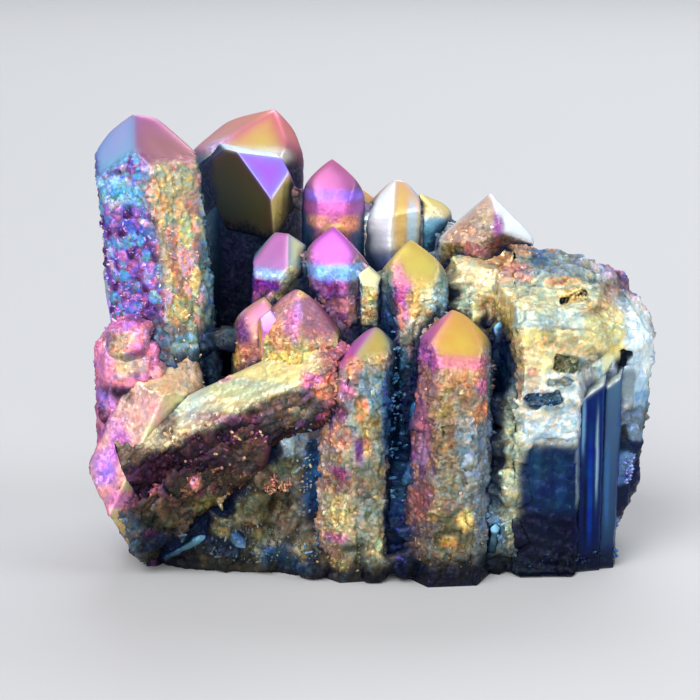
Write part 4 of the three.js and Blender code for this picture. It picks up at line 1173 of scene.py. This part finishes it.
ROOT_WASHES = (
    ((12, 14, 36), (3, 8, 2.4), (242, 228, 188, 0.6), 0.9),
    ((15.6, 14, 35.4), (3.4, 8, 3.2), (242, 222, 176, 0.6), 0.9),
    ((17.2, 14, 37.2), (2, 6, 0.8), (226, 150, 140), 0.75),
    ((15.4, 13, 38.2), (2, 4, 0.6), (226, 160, 110), 0.7),
    ((14.4, 13, 33), (3, 4, 1.6), (214, 196, 132), 0.9),
    # Painted shade: the cleft between the front orange crystal and the block is painted black.
    ((11.6, 12, 33), (1.6, 4, 1.6), (196, 206, 180), 0.7), ((15, 8, 25.4), (1.5, 9, 5.8), BLACK, 0.95),
    ((16.4, 4, 12.6), (1.6, 9, 8), (176, 180, 150), 0.9),
    ((14.4, 5, 11), (0.8, 9, 7), (96, 130, 152), 0.85), ((-13, 4, 9), (7, 8, 7), (86, 90, 78), 0.7),
    ((-9.8, 3, 17.2), (1.9, 8, 1.7), (170, 190, 190), 0.9),
    ((-9.6, 3, 14), (1.9, 8, 1.2), (72, 78, 62), 0.9),
    # Painted shadow: the first patch here, under the slab, is near black.
    ((-14, 5, 16.4), (2.4, 8, 3), (8, 12, 24), 0.95), ((-7.6, 4, 10), (1, 8, 9), (10, 30, 66), 0.95),
    ((-8, 5, 13), (0.9, 8, 4), (30, 76, 120), 0.85), ((-11, 5, 14), (1.8, 8, 1.1), (92, 96, 74), 0.9),
    ((-12.2, 4, 11.4), (1.2, 8, 0.9), (124, 106, 84), 0.8),
    ((-17, 4, 9), (2, 8, 1.3), (108, 108, 84), 0.9),
    ((-15.4, 3, 6.4), (1.3, 8, 1.5), (114, 102, 80), 0.9),
    ((-11.6, 4, 7.4), (1.1, 8, 1.6), (104, 90, 76), 0.85),
    ((-13, 4, 9), (2.4, 8, 1), (52, 48, 28), 0.8), ((-19, 3, 3.4), (3, 8, 1.5), (16, 44, 76), 0.9),
    ((-12.6, 3, 2.6), (1.6, 8, 1.4), (46, 96, 140), 0.85),
    ((-10, 3, 1.4), (2, 8, 0.9), (60, 110, 150), 0.8), ((-9, 3, 4), (1, 8, 1.2), (150, 140, 110), 0.8),
    ((3, 5, 16), (1.1, 8, 14), (20, 52, 104), 0.95), ((3.4, 4, 22), (0.7, 8, 2), (60, 130, 190), 0.8),
    ((3, 4, 13), (0.7, 8, 2), (70, 120, 160), 0.7), ((-31, 6, 28), (4, 8, 4.6), (220, 132, 180), 0.75),
    ((-31.8, 6, 28.4), (1.2, 8, 1.9), (222, 184, 124), 0.8),
    ((-30, 6, 29.8), (1.5, 8, 0.8), (222, 184, 140), 0.7),
    ((-29, 6, 28.8), (0.7, 8, 1.5), (206, 120, 190), 0.7),
    ((-30.6, 6, 31), (1.9, 8, 0.6), (196, 116, 200), 0.7),
    ((-28.8, 6, 27.4), (1, 8, 0.7), (140, 70, 110), 0.7),
    ((-29.8, 5, 26.6), (1.3, 8, 0.7), (196, 186, 146), 0.6),
    ((-31.8, 6, 31.8), (1.4, 8, 0.7), (226, 130, 190), 0.7),
    ((-34, 9, 28), (1.2, 4, 2.6), (190, 160, 240), 0.85),
    ((-30.6, 6, 33), (3.4, 8, 0.8), (230, 130, 206), 0.85),
    ((-31, 5.4, 25), (2.4, 8, 1.2), (226, 140, 190), 0.85),
    ((-33.4, 6, 22.4), (1.3, 8, 1.3), (180, 140, 240), 0.85),
    # Painted shade: the second patch here is the near-black crease.
    ((-35, 9, 17), (1.4, 5, 4), (90, 44, 84), 0.9), ((-31, 5, 22.6), (1.6, 8, 0.8), (30, 16, 20), 0.9),
    ((-22, 14, 24), (3, 6, 5), (16, 44, 70), 0.9),
    ((-19.4, 10, 28.8), (3.4, 8, 2.4), (20, 48, 74), 0.9),
    ((14.8, 4, 6), (0.9, 8, 1.4), (130, 180, 210), 0.7),
    # Painted shade: the cleft between the broad orange crystal and the pink dome, and the hollow under
    # the forward crystal, are painted near black.
    ((-10, 26, 45.5), (2.4, 12, 3), (14, 24, 40), 0.95), ((-16, 20, 38), (6, 8, 8), (10, 12, 20), 0.9),
)
# Every part of the mass also gets the painted shade at its foot.
grown_mass("broken_block", (17, -2, -1), (40, 50, 60), 0.26, BLOCK_WASHES + (SHADED_FOOT,),
           base=(150, 160, 150), seed=50, grain=0.8, steps=0.8, warp=0.5, crisp=20)
grown_mass("front_root", (-40, -2, -1), (17.4, 19, 60), 0.34, ROOT_WASHES + (SHADED_FOOT,), seed=51)
grown_mass("back_root", (-40, 18.6, -1), (17.4, 50, 60), 0.5, (SHADED_FOOT,), seed=51,
           base=(40, 60, 84))

# ------------------------------------------------------------------ the hollows
# Where the crystals stand close, hardly any light comes in and the film is thinnest: the clefts between
# them are painted deep blue to black, painted shade over the blue of the thin film.

# From the middle of each CELL of the surface, rays look for neighbours within RAY_REACH, each ray turned
# on from the last. The result is softened, and the shut in places are painted towards the deep blue of
# the painted shade.
RAY_COUNT, RAY_TURN, RAY_REACH = 14, 2.4, 11.0
CELL = 0.9
SOFTENINGS = 8
SHADE_FROM, SHADE_OVER, DARKEST = 0.24, 0.34, 0.93
CLEFT_SHADE = np.array((0.0015, 0.012, 0.048, 0))
rays = []
for number in range(RAY_COUNT):
    out, around = (number + 0.5) / RAY_COUNT, RAY_TURN * number
    rays.append(Vector((math.cos(around) * math.sqrt(out), math.sin(around) * math.sqrt(out),
                        math.sqrt(1 - out))))
neighbours = BVHTree.FromBMesh(plain_forms)
plain_forms.free()


def shut_in(middle, normal):
    """From 0 to 1, how much of the open air in front of a place is taken by neighbours."""
    normal = Vector(normal).normalized()
    start = Vector(middle * MM + origin) + normal * CELL * MM
    turn = Vector((0, 0, 1)).rotation_difference(normal)
    hidden = 0.0
    for ray in rays:
        distance = neighbours.ray_cast(start, turn @ ray, RAY_REACH * MM)[3]
        if distance is not None:
            hidden += (1 - distance / (RAY_REACH * MM)) / RAY_COUNT
    return hidden


for mesh in made:
    points, normals = read_points(mesh), read_normals(mesh)
    cells = np.concatenate([np.floor(points / CELL), np.round(normals)], axis=1).astype(int)
    _, index, counts = np.unique(cells, axis=0, return_inverse=True, return_counts=True)
    index = index.ravel()
    middles = np.stack([np.bincount(index, axis) for axis in points.T], axis=1)
    middles /= counts[:, None]
    facing = np.stack([np.bincount(index, axis) for axis in normals.T], axis=1)
    hidden = np.array([shut_in(middle, normal) for middle, normal in zip(middles, facing)])
    depth = hidden[index]
    edges = np.zeros(len(mesh.edges) * 2, np.int32)
    mesh.edges.foreach_get("vertices", edges)
    first, second = edges.reshape(-1, 2).T
    valence = np.bincount(edges, minlength=len(points))
    for _ in range(SOFTENINGS):
        spread = np.bincount(first, depth[second], len(points))
        spread += np.bincount(second, depth[first], len(points))
        depth = 0.5 * depth + 0.5 * spread / np.maximum(valence, 1)
    # Painted shade: the coat is darkened towards deep blue by how shut in each place is.
    dark = np.clip((depth - SHADE_FROM) / SHADE_OVER, 0, DARKEST)[:, None] * (1, 1, 1, 0)
    write_coat(mesh, read_coat(mesh) * (1 - dark) + CLEFT_SHADE * dark)

# ------------------------------------------------------------------ the druse
# Hundreds of grain-sized crystals fill the clefts and crust the feet. Each is a six-sided
# prism with a pointed tip, grown at an angle out of the rough surface under it.

# The grain that all are copies of is a little narrower at the top, with a point on it, and
# sunk in by its stem.
GRAIN_FOOT, GRAIN_TOP, GRAIN_STEM = 0.5, 0.42, 0.35
GRAIN_PRISM, GRAIN_POINT = 1.6, 0.5
GRAIN_WIDTH, GRAIN_HEIGHT, GRAIN_ROUGHNESS = 0.6, 0.75, 0.4
GRAIN_LENGTHS, GRAIN_SHADES = (0.5, 1.2), (0.8, 1.5)
GRAIN_TILT, GRAIN_LIFT, GRAIN_SPIN = 0.4, (0, 0, 0.2), 1.05
# Grains grow only where the skin is rough, and not at the cut base or out in front of it.
ROUGH_ENOUGH = 0.55
ABOVE_BASE, BEHIND_FRONT = 1, -0.2


def one_grain():
    """The six-sided grain that every grain is a copy of."""
    bm = bmesh.new()
    bmesh.ops.create_cone(bm, cap_ends=True, segments=6, radius1=GRAIN_FOOT, radius2=GRAIN_TOP,
                          depth=GRAIN_PRISM)
    bm.normal_update()
    top = max(bm.faces, key=lambda face: face.calc_center_median().z)
    bmesh.ops.poke(bm, faces=[top], offset=GRAIN_POINT)
    bmesh.ops.translate(bm, verts=bm.verts, vec=(0, 0, -GRAIN_STEM))
    return mesh_of("seedling", bm)


grain_mesh = one_grain()


def druse(name, beds, seed=0):
    """Beds are (middle, half size, how many, crystal size, finish, the other finish)."""
    random = np.random.default_rng(seed)
    points = np.concatenate([read_points(mesh) for mesh in made])
    normals = np.concatenate([read_normals(mesh) for mesh in made])
    under = np.concatenate([read_coat(mesh) for mesh in made])
    free = (under[:, 3] > ROUGH_ENOUGH) & (points[:, 2] > ABOVE_BASE)
    free &= points[:, 1] > BEHIND_FRONT
    per_grain = len(grain_mesh.vertices)
    bm = bmesh.new()
    coats = []
    for middle, size, many, grain, value, other in beds:
        away = (points - np.array(middle)) / np.array(size)
        bed = np.flatnonzero((np.einsum("ij,ij->i", away, away) < 1) & free)
        for index in random.choice(bed, min(many, len(bed)), replace=False):
            length = grain * random.uniform(*GRAIN_LENGTHS)
            tilt = Vector(normals[index] + random.normal(0, GRAIN_TILT, 3) + GRAIN_LIFT)
            turn = Vector((0, 0, 1)).rotation_difference(tilt).to_matrix().to_4x4()
            spin = Matrix.Rotation(random.uniform(0, GRAIN_SPIN), 4, "Z")
            width, height = length * GRAIN_WIDTH * MM, length * GRAIN_HEIGHT * MM
            sized = Matrix.Diagonal((width, width, height, 1))
            stand = Matrix.Translation(place(points[index])) @ turn @ spin @ sized
            bm.from_mesh(grain_mesh)
            bm.verts.ensure_lookup_table()
            bmesh.ops.transform(bm, verts=bm.verts[-per_grain:], matrix=stand)
            share = random.uniform(0, 1)
            coat = finish(value) * (1 - share) + finish(other) * share
            coat = (0.6 * coat + 0.4 * under[index]) * random.uniform(*GRAIN_SHADES)
            coat[3] = GRAIN_ROUGHNESS
            coats.append(coat)
    mesh = mesh_of(name, bm)
    write_coat(mesh, np.repeat(np.array(coats), per_grain, axis=0))
    piece(name, mesh)
    mesh.shade_flat()


druse("druse_in_the_clefts", (
    ((-12, 4, 11.6), (1.7, 4, 1.6), 60, 0.7, (236, 190, 140), (200, 110, 120)),
    ((-8.4, 5, 13), (1.1, 4, 2.8), 50, 0.6, (230, 200, 130), (60, 120, 180)),
    ((-8.4, 5, 17), (1.8, 5, 4), 60, 0.6, (30, 90, 150), (150, 200, 220)),
    ((15, 4, 7), (1.4, 4, 3), 24, 0.8, (96, 140, 160), (150, 190, 210)),
    ((30.6, 8, 6), (2.4, 4, 5), 44, 0.7, (110, 160, 210), (40, 80, 130)),
    ((24.4, 9.6, 34.4), (2, 1.6, 0.8), 46, 0.8, (226, 200, 130), (170, 170, 130)),
    ((23.4, 6, 26.8), (1.9, 2.2, 1.1), 26, 0.8, (170, 166, 116), (90, 106, 90)),
    ((20.6, 6, 22.4), (2.6, 2.2, 1.1), 30, 0.8, (130, 170, 196), (50, 90, 120)),
    ((32.6, 9, 10), (1.6, 4, 7), 40, 0.7, (150, 180, 220), (110, 80, 170)),
    ((9, 10, 31), (3, 4, 2), 24, 0.7, (150, 180, 190), (70, 120, 150)),
    ((3, 8, 26), (1.6, 4, 6), 60, 0.75, (70, 140, 200), (160, 210, 230)),
    ((2.8, 6, 16), (1.3, 5, 10), 110, 0.8, (30, 96, 170), (130, 190, 226)),
    ((15, 8, 22), (1.4, 5, 7), 40, 0.8, (16, 50, 90), (110, 80, 50)),
    ((-22, 10, 25), (2.4, 4, 4), 60, 0.6, (50, 90, 120), (210, 190, 130)),
    ((-8, 5, 6), (1.2, 5, 5), 50, 0.7, (24, 80, 140), (130, 180, 210)),
), seed=5)
druse("druse_on_the_tall_crystal", (
    ((-31, 10, 38), (4, 6, 10), 260, 0.5, (255, 214, 240), (170, 110, 220)),
    ((-30, 10, 32), (3, 6, 4), 120, 0.5, (255, 210, 200), (226, 130, 210)),
    ((-24, 9, 36), (3, 5, 10), 140, 0.5, (250, 236, 180), (230, 160, 160)),
), seed=8)
druse("druse_on_the_slab", (
    ((-20, 2.4, 17), (8, 3, 3), 130, 0.65, (150, 84, 126), (50, 20, 50)),
    ((-20, 2.4, 17), (8, 3, 3), 30, 0.7, (240, 180, 170), (230, 190, 120)),
    ((-20, 2.4, 12), (6, 3, 2.4), 70, 0.6, (170, 120, 90), (70, 40, 50)),
    ((-31, 6, 12), (3, 4, 3), 24, 0.6, (190, 100, 160), (120, 60, 110)),
), seed=6)
druse("druse_on_the_feet", (
    ((-16, 3, 4), (9, 5, 3), 120, 0.7, (36, 76, 110), (120, 120, 96)),
    ((-3, 2, 3.4), (5, 4, 2.6), 40, 0.6, (190, 170, 120), (110, 90, 70)),
    ((9, 2, 5), (5, 4, 3), 60, 0.6, (150, 130, 90), (70, 64, 50)),
    ((24, 3, 3), (8, 5, 2.6), 50, 0.7, (20, 36, 60), (50, 76, 100)),
    ((-4.6, 3.4, 13.4), (3, 3, 2), 36, 0.5, (216, 140, 120), (140, 60, 120)),
    ((-4, 10, 32.6), (4, 4, 2), 50, 0.55, (110, 50, 130), (206, 150, 110)),
    ((-15, 9, 29.6), (3, 4, 2), 24, 0.5, (200, 150, 110), (150, 90, 150)),
), seed=7)
